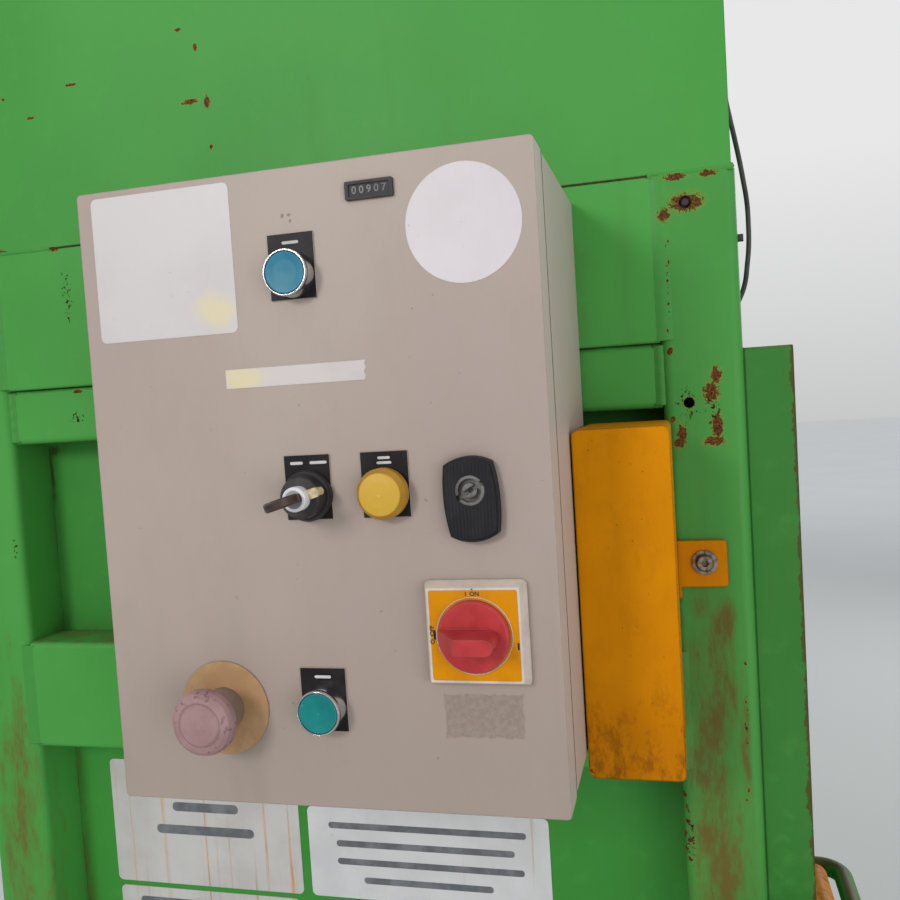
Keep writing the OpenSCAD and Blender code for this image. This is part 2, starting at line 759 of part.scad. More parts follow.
module enclosure_body() color(beige) panel() difference() {
  union() {
    difference() {
      slab(body_in, body_in, body_front, wall_y, enc_r);
      slab(body_in + sheet_t, body_in + sheet_t, body_front - 1, wall_y - sheet_t, enc_r - sheet_t + eps);
    }
    difference() {
      slab(body_in + eps, body_in + eps, body_front, body_front + sheet_t, enc_r);
      slab(lip_side + sheet_t, lip_end + sheet_t, body_front - 1, body_front + sheet_t + 1, enc_r);
    }
    difference() {
      slab(lip_side, lip_end, lip_front, body_front + sheet_t, enc_r + 1);
      slab(lip_side + sheet_t, lip_end + sheet_t, lip_front - 1, body_front + sheet_t + 1, enc_r);
    }
    for (z = enc_hinge_zs) translate([hinge_in, axis_y, z - enc_lug_t / 2]) {
      cylinder(r = knuckle_r, h = enc_lug_t);
      translate([0, -1.5, 0]) cube([lip_side + sheet_t / 2 - hinge_in, 4, enc_lug_t]);
    }
  }
  for (z = enc_hinge_zs) translate([hinge_in, axis_y, z - 10]) cylinder(r = small_pin + 0.03, h = 20);
  for (x = bolt_xs, z = bolt_zs) translate([x, wall_y - 5, z]) rotate([-90, 0, 0])
    cylinder(r = bolt_r + bolt_fit, h = 10);
  for (z = gland_zs) translate([enc_w - 20, gland_y, z]) rotate([0, 90, 0]) cylinder(r = 8.2, h = 40);
}

module enclosure_door() color(beige) panel() {
  difference() {
    slab(0, 0, 0, enc_door_d, enc_r);
    slab(sheet_t, sheet_t, sheet_t, enc_door_d + 1, enc_r - sheet_t + eps);
    for (p = [[start_x, start_hi], [start_lo_x, start_lo], [key_x, key_z], [lamp_x, key_z],
        [estop_x, estop_z], [isolator_x, isolator_z], [lock_x, lock_z]])
      translate([p[0], -1, p[1]]) rotate([-90, 0, 0]) cylinder(r = control_r, h = sheet_t + 2);
    block(counter_x - 13.2, counter_x + 13.2, -1, sheet_t + 1, counter_z - 4.7, counter_z + 4.7);
  }
  for (z = enc_hinge_zs, s = [-1, 1]) translate([0, 0, z + s * (enc_lug_t / 2 + seat + 1.5) - 1.5])
    difference() {
      union() {
        translate([hinge_in, axis_y, 0]) cylinder(r = knuckle_r, h = 3);
        block(sheet_t - eps, hinge_in + knuckle_r, sheet_t - eps, axis_y, 0, 3);
      }
      translate([hinge_in, axis_y, -1]) cylinder(r = small_pin + run_fit, h = 5);
    }
}

module enclosure_hinge_pins() color(zinc) panel() for (z = enc_hinge_zs)
  translate([hinge_in, axis_y, z]) {
    translate([0, 0, -8]) cylinder(r = small_pin, h = 15);
    translate([0, 0, 6.2]) cylinder(r = small_pin + 1, h = 1.5);
    translate([0, 0, -8]) cylinder(r = small_pin + 1, h = 1.5);
  }

module door_seal() color(black) panel() difference() {
  slab(lip_side - 3, lip_end - 3, sheet_t, lip_front - seat, enc_r + 2);
  slab(lip_side + 5, lip_end + 5, 0, lip_front, enc_r);
}

module mounting_plate() color(zinc) panel() {
  block(20, enc_w - 20, wall_y - 12, wall_y - 10, 20, enc_h - 20);
  for (x = [45, enc_w - 45], z = [40, enc_h - 40]) translate([x, wall_y - 10 - eps, z])
    rotate([-90, 0, 0]) cylinder(r = 5, h = 10 - sheet_t + eps);
}

plate_y = wall_y - 12;
gear_zs = [130, enc_h - 120];
gear_xs = [40, 100, 160];
gear_d = 75;

module switchgear() color(black) panel() {
  for (z = gear_zs) {
    block(30, enc_w - 30, plate_y - 8, plate_y, z - 17, z + 17);
    for (x = gear_xs) block(x, x + 45, plate_y - gear_d, plate_y - 8 + eps, z - 38, z + 38);
  }
  block(215, 265, plate_y - 60, plate_y - 8 + eps, 95, 165);
  block(40, enc_w - 40, plate_y - 40, plate_y, 35, 60);
}

module panel_bolts() color(zinc) panel() {
  for (x = bolt_xs, z = bolt_zs) translate([x, wall_y - sheet_t, z]) rotate([-90, 0, 0]) {
    cylinder(r = bolt_r, h = 12);
    translate([0, 0, -5]) cylinder(r = 6.5, h = 5 + eps, $fn = 6);
  }
  translate([tab_bolt_x, wall_y - tab_t, tab_bolt_z]) rotate([90, 0, 0]) {
    translate([0, 0, -9]) cylinder(r = bolt_r, h = 12);
    difference() {
      union() {
        cylinder(r = 9.5, h = 1.5);
        translate([0, 0, 1.5 - eps]) cylinder(r1 = 7, r2 = 5.4, h = 4.4);
      }
      translate([0, 0, 3]) cylinder(r = 2.9, h = 5, $fn = 6);
    }
  }
}

module cable_glands() color(black) panel() for (z = gland_zs)
  translate([enc_w - 14, gland_y, z]) rotate([0, 90, 0]) {
    cylinder(r = 8, h = 18);
    translate([0, 0, 6]) cylinder(r = 12, h = 6, $fn = 6);
    translate([0, 0, 13.7]) cylinder(r = 12, h = 6, $fn = 6);
    translate([0, 0, 18]) cylinder(r = 10, h = 14);
  }

// Controls on the enclosure door

module legend(x, z) on_panel(x, z) linear_extrude(legend_t) difference() {
  translate([-legend_w / 2, -15]) square([legend_w, legend_h]);
  circle(control_r);
}

module legend_plates() color(black) {
  legend(start_x, start_hi);
  legend(start_lo_x, start_lo);
  legend(key_x, key_z);
  legend(lamp_x, key_z);
}

// The back of a control: neck, fixing nut and contact block
module control_back() {
  translate([0, 0, -16]) cylinder(r = control_r - 0.2, h = 17 + legend_t);
  translate([0, 0, -sheet_t - 6]) cylinder(r = 14, h = 6);
  translate([-15, -20, -48]) cube([30, 40, 34]);
}

// The same, bored for a plunger
module bored_back() difference() {
  control_back();
  translate([0, 0, -24]) cylinder(r = plunger_r + 0.1, h = 40);
}

module button_body(x, z) on_panel(x, z) {
  bored_back();
  rotate_extrude() polygon([[cap_r + 0.1, 2.2], [cap_r + 0.1, bezel_out - 0.8],
    [cap_r + 0.5, bezel_out], [bezel_r - 0.8, bezel_out], [bezel_r - 0.2, bezel_out - 1.2],
    [bezel_r - 0.6, bezel_out - 4], [bezel_r, legend_t + 1], [bezel_r, legend_t],
    [plunger_r + 0.1, legend_t], [plunger_r + 0.1, 2.2]]);
}

module button_bodies() color(chrome_c) {
  button_body(start_x, start_hi);
  button_body(start_lo_x, start_lo);
}

// Cap of a push button, its face dished a little
module start_cap(x, z) on_panel(x, z) rotate_extrude() polygon([[0, -12], [plunger_r, -12],
  [plunger_r, 2.4 + press], [cap_r, 2.4 + press], [cap_r, bezel_out - 0.9],
  [cap_r - 0.6, bezel_out - 0.3], [cap_r - 5, bezel_out - 0.9], [0, bezel_out - 1.2]]);

module start_cap_upper() color([0.28, 0.59, 0.68]) start_cap(start_x, start_hi);

module start_cap_lower() color([0.10, 0.53, 0.50]) start_cap(start_lo_x, start_lo);

lens_out = 14.6;

module bale_lamp() color([0.86, 0.70, 0.22]) on_panel(lamp_x, key_z) {
  control_back();
  rotate_extrude() polygon([[0, legend_t], [bezel_r, legend_t], [bezel_r, 4], [lens_r, 4], [lens_r, 10],
    [lens_r - 2.5, lens_out - 0.4], [lens_r - 3.1, lens_out], [lens_r / 2, lens_out + 0.5],
    [0, lens_out + 0.7]]);
}

module key_switch_body() color(black) on_panel(key_x, key_z) {
  bored_back();
  rotate_extrude() polygon([[plunger_r + 0.1, legend_t], [16, legend_t], [16, 4.5], [15, 6.5],
    [plunger_r + 0.1, 6.5]]);
}

barrel_face = 16.5;
barrel_out = 24.5;
ring_r = 7.5;
bow_r = 10.5;
bow_out = 41;
key_t = 5.6;

// Turning barrel of the key switch, with a pointer over its edge
module key_barrel() color(black) on_panel(key_x, key_z) rotate([0, 0, key_lean]) difference() {
  union() {
    rotate_extrude() polygon([[0, -14], [plunger_r, -14], [plunger_r, 6.8], [13.3, 6.8],
      [12.7, barrel_face - 1], [11.8, barrel_face], [ring_r, barrel_face],
      [ring_r, barrel_out - 0.6], [ring_r - 0.6, barrel_out], [0, barrel_out]]);
    translate([0, 0, barrel_face - 6]) linear_extrude(8.5) {
      translate([4, -3]) square([9, 6]);
      translate([11.5, 0]) circle(3);
    }
  }
  translate([-4.1, -1.2, 12]) cube([8.2, 2.4, 20]);
}

// Key standing out of the barrel: blade, neck and a round moulded bow
module switch_key() color([0.16, 0.10, 0.08]) on_panel(key_x, key_z) rotate([0, 0, key_lean]) {
  translate([-4, -1, 12.3]) cube([8, 2, barrel_out - 10]);
  translate([-4.5, -key_t / 2 + 0.2, barrel_out + 0.4])
    cube([9, key_t - 0.4, bow_out - bow_r - barrel_out + 2]);
  translate([0, 0, bow_out]) rotate([90, 0, 0]) rotate_extrude() polygon([[0, -key_t / 2],
    [bow_r - 1, -key_t / 2], [bow_r, 1 - key_t / 2], [bow_r, key_t / 2 - 1],
    [bow_r - 1, key_t / 2], [0, key_t / 2]]);
}

module estop_disc() color([0.85, 0.69, 0.42]) on_panel(estop_x, estop_z) linear_extrude(legend_t)
  difference() {
    circle(disc_r);
    circle(control_r);
  }

collar_out = 17.5;

module estop_collar() color([0.55, 0.47, 0.45]) on_panel(estop_x, estop_z) {
  bored_back();
  rotate_extrude() polygon([[plunger_r + 0.1, legend_t], [13.6, legend_t], [13.2, collar_out - 1],
    [12.5, collar_out], [11, collar_out], [11, 3.5], [plunger_r + 0.1, 3.5]]);
}

head_back = collar_out + 4.5;
head_seat = mushroom_out - 5;

module estop_stem() color([0.55, 0.42, 0.44]) on_panel(estop_x, estop_z)
  rotate_extrude() polygon([[0, -14], [plunger_r, -14], [plunger_r, 7.7], [10, 7.7],
    [10, head_back - seat], [5, head_back - seat], [5, head_seat], [0, head_seat]]);

module estop_head() color([0.70, 0.55, 0.56]) on_panel(estop_x, estop_z) rotate_extrude() {
  polygon([[5.05, head_back], [mushroom_r - 2, head_back], [mushroom_r, head_back + 2.5],
    [mushroom_r, mushroom_out - 6],
    [mushroom_r - 1.2, mushroom_out - 3], [mushroom_r - 3.5, mushroom_out - 1],
    [mushroom_r - 6, mushroom_out - 0.4], [mushroom_r - 7, mushroom_out - 1.2],
    [mushroom_r - 8.2, mushroom_out - 0.3], [0, mushroom_out], [0, head_seat + 0.2], [5.05, head_seat + 0.2]]);
}

taper = 0.375;
taper_from = 2;

// Section of the isolator's plate, w wide at its foot and tapered above it
module tapered(w) {
  low = w / 2 + taper * (taper_from + 1);
  high = w / 2 - taper * (isolator_t + 1 - taper_from);
  polygon([[-low, -1], [low, -1], [high, isolator_t + 1], [-high, isolator_t + 1]]);
}

module isolator_plate() color(cream) on_panel(isolator_x, isolator_z) difference() {
  union() {
    intersection() {
      linear_extrude(isolator_t) rounded(isolator_w, isolator_w + 0.5, 3);
      rotate([90, 0, 0]) linear_extrude(2 * isolator_w, center = true) tapered(isolator_w);
      rotate([90, 0, 90]) linear_extrude(2 * isolator_w, center = true) tapered(isolator_w + 0.5);
    }
    translate([0, 0, -20]) cylinder(r = control_r - 0.2, h = 21);
    translate([-25, -25, -54]) cube([50, 50, 36]);
  }
  translate([0, 0, isolator_t - 1.2]) cylinder(r = knob_r + 1, h = 2);
  translate([0, 0, -30]) cylinder(r = 4.1, h = 60);
}

knob_grip_r = 4.8;
knob_top = isolator_t + 5;
knob_end = knob_r - 5.5;

// Knob of the isolator: a low disc and a grip that slopes down to its left rim
module isolator_knob() color([0.72, 0.20, 0.22]) on_panel(isolator_x, isolator_z) {
  translate([0, 0, -24]) cylinder(r = 4, h = 30);
  rotate_extrude() polygon([[0, isolator_t - 0.9], [knob_r, isolator_t - 0.9],
    [knob_r, knob_top - 1], [knob_r - 1, knob_top], [0, knob_top]]);
  intersection() {
    linear_extrude(grip_out + 1) {
      translate([0.6 - knob_r, -knob_grip_r]) square([knob_r - 0.6 + knob_end - knob_grip_r, 2 * knob_grip_r]);
      translate([knob_end - knob_grip_r, 0]) circle(knob_grip_r);
    }
    rotate([90, 0, 0]) linear_extrude(4 * knob_grip_r, center = true)
      polygon([[-knob_r, knob_top - 2], [knob_r, knob_top - 2], [knob_r, grip_out], [-6.6, grip_out],
        [-knob_r, knob_top - 0.5]]);
  }
}

module counter() color(black) on_panel(counter_x, counter_z) {
  linear_extrude(2.2) difference() {
    rounded(30, 11, 0.8);
    rounded(25.6, 7.2, 0.4);
  }
  translate([-13, -4.5, -26]) cube([26, 9, 27.2]);
}

module lock_outline() {
  bulge = 3;
  side_r = (lock_h * lock_h / 4 + bulge * bulge) / (2 * bulge);
  end_r = lock_h / 2 + 1.7;
  intersection() {
    translate([lock_w / 2 - side_r, 0]) circle(side_r, $fn = 200);
    translate([side_r - lock_w / 2, 0]) circle(side_r, $fn = 200);
    translate([0, -1.7]) circle(end_r, $fn = 200);
    translate([0, 1.7]) circle(end_r, $fn = 200);
  }
}

module lock_cover() color(black) {
  difference() {
    on_panel(lock_x, lock_mid) rotate([0, 0, 3]) {
      linear_extrude(7) lock_outline();
      translate([0, 0, 7 - eps]) linear_extrude(2) scale(0.92) lock_outline();
    }
    on_panel(lock_x, lock_z) translate([0, 0, -1]) cylinder(r = 9.1, h = 12);
  }
  on_panel(lock_x, lock_z) difference() {
    union() {
      translate([0, 0, -14]) cylinder(r = control_r - 0.2, h = 16);
      translate([0, 0, -sheet_t - 6]) cylinder(r = 14, h = 6);
    }
    translate([0, 0, -15]) cylinder(r = 6.1, h = 20);
    translate([0, 0, 1]) cylinder(r = 9.1, h = 4);
  }
}

cam_y = body_front + sheet_t + 2.5;

module lock_insert() color(zinc) on_panel(lock_x, lock_z) {
  difference() {
    union() {
      translate([0, 0, 1.3]) cylinder(r = 9, h = 7);
      translate([0, 0, -cam_y - 4]) cylinder(r = 6, h = cam_y + 6);
    }
    difference() {
      translate([0, 0, 5.3]) cylinder(r = 7, h = 4);
      translate([0, 0, 4]) cylinder(r = 4.4, h = 4);
    }
    translate([0, 0, 5.3]) rotate([0, 0, 30]) translate([-9.5, -1.5, 0]) cube([19, 3, 4]);
    translate([0, 0, 4]) cylinder(r = 1.6, h = 6);
  }
  translate([-7, -7, -cam_y - 3]) cube([14, 50, 3]);
}

// Cable guard

module cable_guard() color(amber) panel() {
  cx = guard_x + guard_w / 2;
  cz = guard_z + guard_h / 2;
  difference() {
    translate([cx, wall_y - seat, cz]) rotate([90, 0, 0])
      linear_extrude(guard_d - seat) rounded(guard_w, guard_h, 5);
    translate([cx, wall_y + 1, cz]) rotate([90, 0, 0])
      linear_extrude(guard_d - guard_t + 1) rounded(guard_w - 2 * guard_t, guard_h - 2 * guard_t, 3);
    block(guard_x - 1, guard_x + guard_t + 3, wall_y - guard_d + guard_t, wall_y + 1,
      guard_z + 20, guard_z + guard_h - 20);
  }
  difference() {
    union() {
      translate([guard_right + tab_w / 2 - tab_r, wall_y, tab_z + tab_h / 2]) rotate([90, 0, 0])
        linear_extrude(tab_t) rounded(tab_w + 2 * tab_r, tab_h, tab_r);
      block(guard_right - guard_t, guard_right + tab_step, wall_y - tab_t, wall_y, tab_z - 9, tab_z + 1);
    }
    translate([tab_bolt_x, wall_y - tab_t - 1, tab_bolt_z]) rotate([-90, 0, 0])
      cylinder(r = bolt_r + bolt_fit, h = tab_t + 2);
  }
}

// Slack cable and its fittings

module sensor_cable() color(black) cord(cord_route, cord_x, cord_r, 8);

cover_face = -casing_y + 0.5;

module cable_fittings() color(black) {
  translate([cord_x, cover_face, cord_route[0][1]]) rotate([90, 0, 0]) difference() {
    union() {
      translate([0, 0, -10]) cylinder(r = 7.8, h = 11);
      cylinder(r = 11, h = 8, $fn = 6);
      translate([0, 0, 8 - eps]) cylinder(r1 = 9, r2 = 6, h = 9);
    }
    translate([0, 0, -11]) cylinder(r = cord_r + cord_fit, h = 30);
  }
  boot_axis() difference() {
    translate([0, 0, -5]) cylinder(r = boot_r - 0.1, h = 17);
    translate([0, 0, -11]) cylinder(r = cord_r + cord_fit, h = 40);
  }
  translate([cord_x, cord_route[clip_point][0], cord_route[clip_point][1]]) difference() {
    union() {
      translate([0, 0, -4]) cylinder(r = cord_r + 1.3, h = 8);
      translate([0, 1, -4]) cube([14, cover_face - cord_route[clip_point][0] - 1, 8]);
    }
    translate([0, 0, -5]) cylinder(r = cord_r + cord_fit, h = 10);
  }
  translate([-hx + 10, -hy, 1540]) rotate([90, 0, 0]) linear_extrude(4) rounded(4, 5.5, 1.2);
}

base_frame();
front_left_post();
front_right_post();
rear_posts();
left_rails();
right_rails();
rear_rails();
top_ring();
side_skins();
rear_skin();
chamber_floor();
casing_left();
casing_right();
casing_rear();
casing_front();
casing_top();
crosshead();
cylinder_barrel();
piston_rod();
platen();
guide_rods();
oil_tank();
pump_motor();
valve_block();
hydraulic_pipes();
loading_door();
main_door();
hinge_lugs();
hinge_pins();
loading_latch();
main_latch();
latch_keepers();
enclosure_body();
enclosure_door();
enclosure_hinge_pins();
door_seal();
mounting_plate();
switchgear();
panel_bolts();
cable_glands();
legend_plates();
button_bodies();
start_cap_upper();
start_cap_lower();
bale_lamp();
key_switch_body();
key_barrel();
switch_key();
estop_disc();
estop_collar();
estop_stem();
estop_head();
isolator_plate();
isolator_knob();
counter();
lock_cover();
lock_insert();
cable_guard();
sensor_cable();
cable_fittings();
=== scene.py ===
import math

import bmesh
import bpy
from mathutils import Matrix, Vector


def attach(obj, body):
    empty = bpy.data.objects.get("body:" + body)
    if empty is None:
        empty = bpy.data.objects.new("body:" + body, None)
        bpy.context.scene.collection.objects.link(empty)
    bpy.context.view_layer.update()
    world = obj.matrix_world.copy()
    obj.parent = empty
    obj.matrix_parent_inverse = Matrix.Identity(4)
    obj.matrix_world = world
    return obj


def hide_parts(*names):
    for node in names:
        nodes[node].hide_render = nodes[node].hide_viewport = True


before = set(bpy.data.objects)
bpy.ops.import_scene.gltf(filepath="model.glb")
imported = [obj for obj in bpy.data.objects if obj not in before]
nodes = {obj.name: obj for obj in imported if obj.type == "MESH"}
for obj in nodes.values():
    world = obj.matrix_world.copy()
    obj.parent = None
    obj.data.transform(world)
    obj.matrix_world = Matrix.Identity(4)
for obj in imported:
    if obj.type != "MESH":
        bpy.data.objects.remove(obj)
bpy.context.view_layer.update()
scene = bpy.context.scene

# Planes in metres: the photographed wall looks towards -X, the front doors towards -Y
WALL = -0.550           # outer face of the posts, the header rail and the casing
SLIM_RAIL = -0.546      # outer face of the slim rail
SKIN = -0.500           # outer face of the side skin between them
SEAM = 1.5915           # height of the seam under the casing
POST_JOINT = 0.2985     # Y of the joints between the rails and the posts
DOOR_FRONT = -0.3885    # outer face of the front doors
FACE = -0.740           # front of the enclosure's door
JOINT = FACE + 0.0295   # middle of the joint between the enclosure's door and its body
FIELD = FACE - 0.010    # front of the isolator's plate
LEGEND_FACE = FACE - 0.0012
COUNTER_FACE = FACE - 0.00135

# Signs, stickers and print: how thick they are, and how far a sticker is lifted off its face
SIGN_THICK, STICKER_THICK, PRINT_THICK, LIFT = 0.0008, 0.0002, 0.00012, 0.00002
SIGN_FACE = SKIN - SIGN_THICK
BOLDER = 0.022          # how much letters are thickened, as a share of their size

# Places on the enclosure's face in millimetres, as panel() takes them
KEY = (148, 199)
ISOLATOR = (250, 113.5)
ESTOP = (79, 63)
GLUE = (250.5, 61.5)
COUNTER = (200.3, 380.5)
OLD_SCREW = (384, 389)

# Half width and height of the old glue in metres, and three scars as marks() takes them
GLUE_HALF = (0.0245, 0.0135)
SCARS = [(-77.0, 1551.1, 1.1, 1.4), (-81.3, 1551.2, 1.3, 1.0), (-82.0, 1547.5, 0.9, 1.2)]

# The barrel's parts change between these distances out of the face and these radii
RING_OUT, RING_R = (0.01656, 0.01662), (0.00753, 0.00757)
CORE_OUT, CORE_R = (0.0241, 0.0243), (0.0055, 0.0057)
RIM_OUT, RIM_R = (0.0103, 0.0104), (0.01333, 0.01337)
LENS_FRONT, LENS_FOOT = (FACE - 0.0146, FACE - 0.0140), (FACE - 0.0035, FACE - 0.0030)
RIB_PITCH, RIB_FACE = 0.0021, (-0.7485, -0.7480)

RAYS = 3                # rays for a rounded edge or for the dirt in a corner


def panel(x, z):
    """Y and Z of a place given in millimetres from the lower left corner of the enclosure."""
    return (66 - x) / 1000, (1180 + z) / 1000


# Node material helpers


class Mat:
    """A material's node tree with short calls."""

    def __init__(self, name, radius=0.001):
        self.radius = radius
        self.mat = bpy.data.materials.new(name)
        self.mat.use_nodes = True
        self.nt = self.mat.node_tree
        self.nt.nodes.clear()
        self.out = self.nt.nodes.new("ShaderNodeOutputMaterial")
        self.bsdf = self.nt.nodes.new("ShaderNodeBsdfPrincipled")
        self.nt.links.new(self.bsdf.outputs[0], self.out.inputs[0])
        self.coord = self.nt.nodes.new("ShaderNodeTexCoord").outputs["Object"]
        self.xyz = None
        self.rounded = None

    def link(self, socket, value):
        """Joins a socket to another, or sets its value."""
        if isinstance(value, bpy.types.NodeSocket):
            self.nt.links.new(value, socket)
        else:
            socket.default_value = value

    def math(self, op, a, b=0.0):
        n = self.nt.nodes.new("ShaderNodeMath")
        n.operation = op
        self.link(n.inputs[0], a)
        self.link(n.inputs[1], b)
        return n.outputs[0]

    def mul(self, a, b):
        return self.math("MULTIPLY", a, b)

    def add(self, a, b):
        return self.math("ADD", a, b)

    def sub(self, a, b):
        return self.math("SUBTRACT", a, b)

    def most(self, a, b):
        return self.math("MAXIMUM", a, b)

    def size(self, a):
        return self.math("ABSOLUTE", a)

    def vec(self, op, a, b=(0, 0, 0)):
        n = self.nt.nodes.new("ShaderNodeVectorMath")
        n.operation = op
        self.link(n.inputs[0], a)
        self.link(n.inputs[1], b)
        return n.outputs["Value"] if op in ("LENGTH", "DOT_PRODUCT") else n.outputs[0]

    def split(self):
        """X, Y and Z of the shaded point, in metres at rest."""
        if self.xyz is None:
            n = self.nt.nodes.new("ShaderNodeSeparateXYZ")
            self.nt.links.new(self.coord, n.inputs[0])
            self.xyz = n.outputs
        return self.xyz

    def noise(self, scale, detail, rough, stretch=None, offset=None):
        """Noise of about 0 to 1; scale counts its patches to the metre."""
        vector = self.coord
        if offset:
            vector = self.vec("ADD", vector, offset)
        if stretch:
            vector = self.vec("MULTIPLY", vector, stretch)
        n = self.nt.nodes.new("ShaderNodeTexNoise")
        self.nt.links.new(vector, n.inputs["Vector"])
        n.inputs["Scale"].default_value = scale
        n.inputs["Detail"].default_value = detail
        n.inputs["Roughness"].default_value = rough
        return n.outputs[0]

    def step(self, value, lo, hi):
        """0 below lo, 1 above hi, smooth between."""
        n = self.nt.nodes.new("ShaderNodeMapRange")
        n.interpolation_type = "SMOOTHSTEP"
        self.link(n.inputs["Value"], value)
        n.inputs["From Min"].default_value = lo
        n.inputs["From Max"].default_value = hi
        return n.outputs["Result"]

    def fall(self, value, lo, hi):
        """1 below lo, 0 above hi, smooth between."""
        return self.sub(1.0, self.step(value, lo, hi))

    def wobble(self, amount, *noise, **options):
        """Noise about zero, times an amount."""
        return self.mul(self.sub(self.noise(*noise, **options), 0.5), amount)

    def mix(self, factor, a, b):
        n = self.nt.nodes.new("ShaderNodeMix")
        n.data_type = "RGBA"
        self.link(n.inputs["Factor"], factor)
        self.link(n.inputs[6], a)
        self.link(n.inputs[7], b)
        return n.outputs[2]

    def cover(self, base, mask, amount, tone):
        """The base with a tone over it where the mask is."""
        return self.mix(self.mul(mask, amount), base, tone)

    def bump(self, height, strength, distance, normal=None):
        n = self.nt.nodes.new("ShaderNodeBump")
        n.inputs["Strength"].default_value = strength
        n.inputs["Distance"].default_value = distance
        self.link(n.inputs["Height"], height)
        if normal is not None:
            self.link(n.inputs["Normal"], normal)
        return n.outputs[0]

    def bevel(self):
        """The normal with its edges rounded by the material's radius."""
        if self.rounded is None:
            n = self.nt.nodes.new("ShaderNodeBevel")
            n.samples = RAYS
            n.inputs["Radius"].default_value = self.radius
            self.rounded = n.outputs[0]
        return self.rounded

    def normal(self):
        return self.nt.nodes.new("ShaderNodeNewGeometry").outputs["True Normal"]

    def facing(self):
        """The face's direction in the piece's own frame, which turns with a door."""
        n = self.nt.nodes.new("ShaderNodeSeparateXYZ")
        self.nt.links.new(self.nt.nodes.new("ShaderNodeTexCoord").outputs["Normal"], n.inputs[0])
        return n.outputs

    def edges(self):
        """1 near sharp edges, 0 on flats."""
        dot = self.vec("DOT_PRODUCT", self.bevel(), self.normal())
        return self.step(self.sub(1.0, dot), 0.02, 0.25)

    def crevice(self, distance):
        """1 in corners within a distance of other faces, 0 in the open."""
        n = self.nt.nodes.new("ShaderNodeAmbientOcclusion")
        n.samples = RAYS
        n.only_local = False
        n.inputs["Distance"].default_value = distance
        return self.step(self.sub(1.0, n.outputs["AO"]), 0.30, 0.85)

    def blobs(self, spots, wobble):
        """Smallest scaled distance to any spot (x, y, z, rx, ry, rz), roughened by wobble."""
        best = None
        for x, y, z, rx, ry, rz in spots:
            moved = self.vec("SUBTRACT", self.coord, (x, y, z))
            scaled = self.vec("MULTIPLY", moved, (1 / rx, 1 / ry, 1 / rz))
            d = self.vec("LENGTH", scaled)
            best = d if best is None else self.math("MINIMUM", best, d)
        return self.add(best, wobble)

    def away(self, x, z):
        """Distance from the axis through a place on the enclosure's face."""
        xyz = self.split()
        cy, cz = panel(x, z)
        dy = self.sub(xyz[1], cy)
        dz = self.sub(xyz[2], cz)
        return self.math("SQRT", self.add(self.mul(dy, dy), self.mul(dz, dz)))

    def set(self, **values):
        """Feeds the shader's inputs and gives the finished material."""
        names = {"color": "Base Color", "rough": "Roughness", "metal": "Metallic",
                 "normal": "Normal", "coat": "Coat Weight", "coat_rough": "Coat Roughness",
                 "spec": "Specular IOR Level", "subsurface": "Subsurface Weight"}
        for key, value in values.items():
            self.link(self.bsdf.inputs[names[key]], value)
        return self.mat


def lin(r, g, b):
    """An sRGB colour out of 255 as linear values."""
    out = []
    for v in (r, g, b):
        v = v / 255
        out.append(v / 12.92 if v <= 0.04045 else ((v + 0.055) / 1.055) ** 2.4)
    return tuple(out) + (1.0,)


RUST = lin(90, 52, 25)
RUST_DARK = lin(46, 28, 17)
RUST_LIGHT = lin(146, 90, 40)
HALO = lin(164, 150, 40)
BROWN = lin(103, 82, 34)
STAIN = lin(60, 44, 20)


def marks(x, depth, rows):
    """Places (y, z, half width, half height) in millimetres on a face at x, as metres."""
    return [(x, y / 1000, z / 1000, depth, ry / 1000, rz / 1000) for y, z, ry, rz in rows]


# Rust that the photograph shows: Y, Z, half width and half height in millimetres
BEAD_DOTS = marks(WALL, 0.02, [
    (-304.3, 1541.6, 0.7, 0.9), (-303.9, 1525.9, 1.1, 1.6), (-302.5, 1511.8, 0.9, 1.3),
    (-302.4, 1494.5, 0.6, 0.9), (-300.7, 1474.2, 0.9, 1.4), (-302.0, 1459.0, 2.2, 3.2)])
SEAM_FRONT = marks(WALL, 0.02, [
    (-312.0, 1588.5, 7.2, 2.6), (-335.0, 1588.5, 6.0, 2.4)])
SEAM_REAR = marks(WALL, 0.02, [
    (286.8, 1592.6, 6.0, 2.2), (232.0, 1590.4, 4.4, 2.0)])
POST_RUST = BEAD_DOTS + SEAM_FRONT + marks(WALL, 0.02, [
    (-318.5, 1569.0, 11.5, 6.4), (-302.0, 1561.0, 4.4, 4.8), (-314.0, 1419.0, 4.0, 4.2),
    (-334.5, 1439.0, 4.0, 6.2), (-330.5, 1426.0, 5.2, 7.4), (-334.0, 1401.0, 3.8, 9.0),
    (-331.0, 1389.0, 7.0, 3.4), (-307.5, 1395.0, 3.2, 7.0), (-305.0, 1388.5, 4.2, 3.4),
    (-301.5, 1407.0, 1.8, 2.6), (-346.0, 1218.0, 1.2, 1.3), (-344.5, 1118.7, 1.0, 1.8),
    (-296.5, 1112.0, 1.3, 2.6), (-297.6, 1103.2, 1.1, 2.0), (-297.8, 1091.1, 1.8, 1.7),
    (-295.0, 1079.7, 1.5, 3.2), (-299.0, 1075.9, 2.0, 2.0), (-301.5, 1073.6, 1.0, 1.2),
    (-295.9, 1067.6, 1.6, 1.8), (-297.9, 1060.5, 1.1, 2.0), (-294.2, 1054.5, 1.2, 1.5),
    (-345.3, 1188.1, 0.8, 1.0), (-344.5, 1170.9, 0.9, 1.0), (-342.7, 1111.1, 0.7, 1.0)])
HEADER_RUST = BEAD_DOTS + SEAM_REAR + marks(WALL, 0.02, [
    (222.0, 1461.5, 5.0, 1.5)])
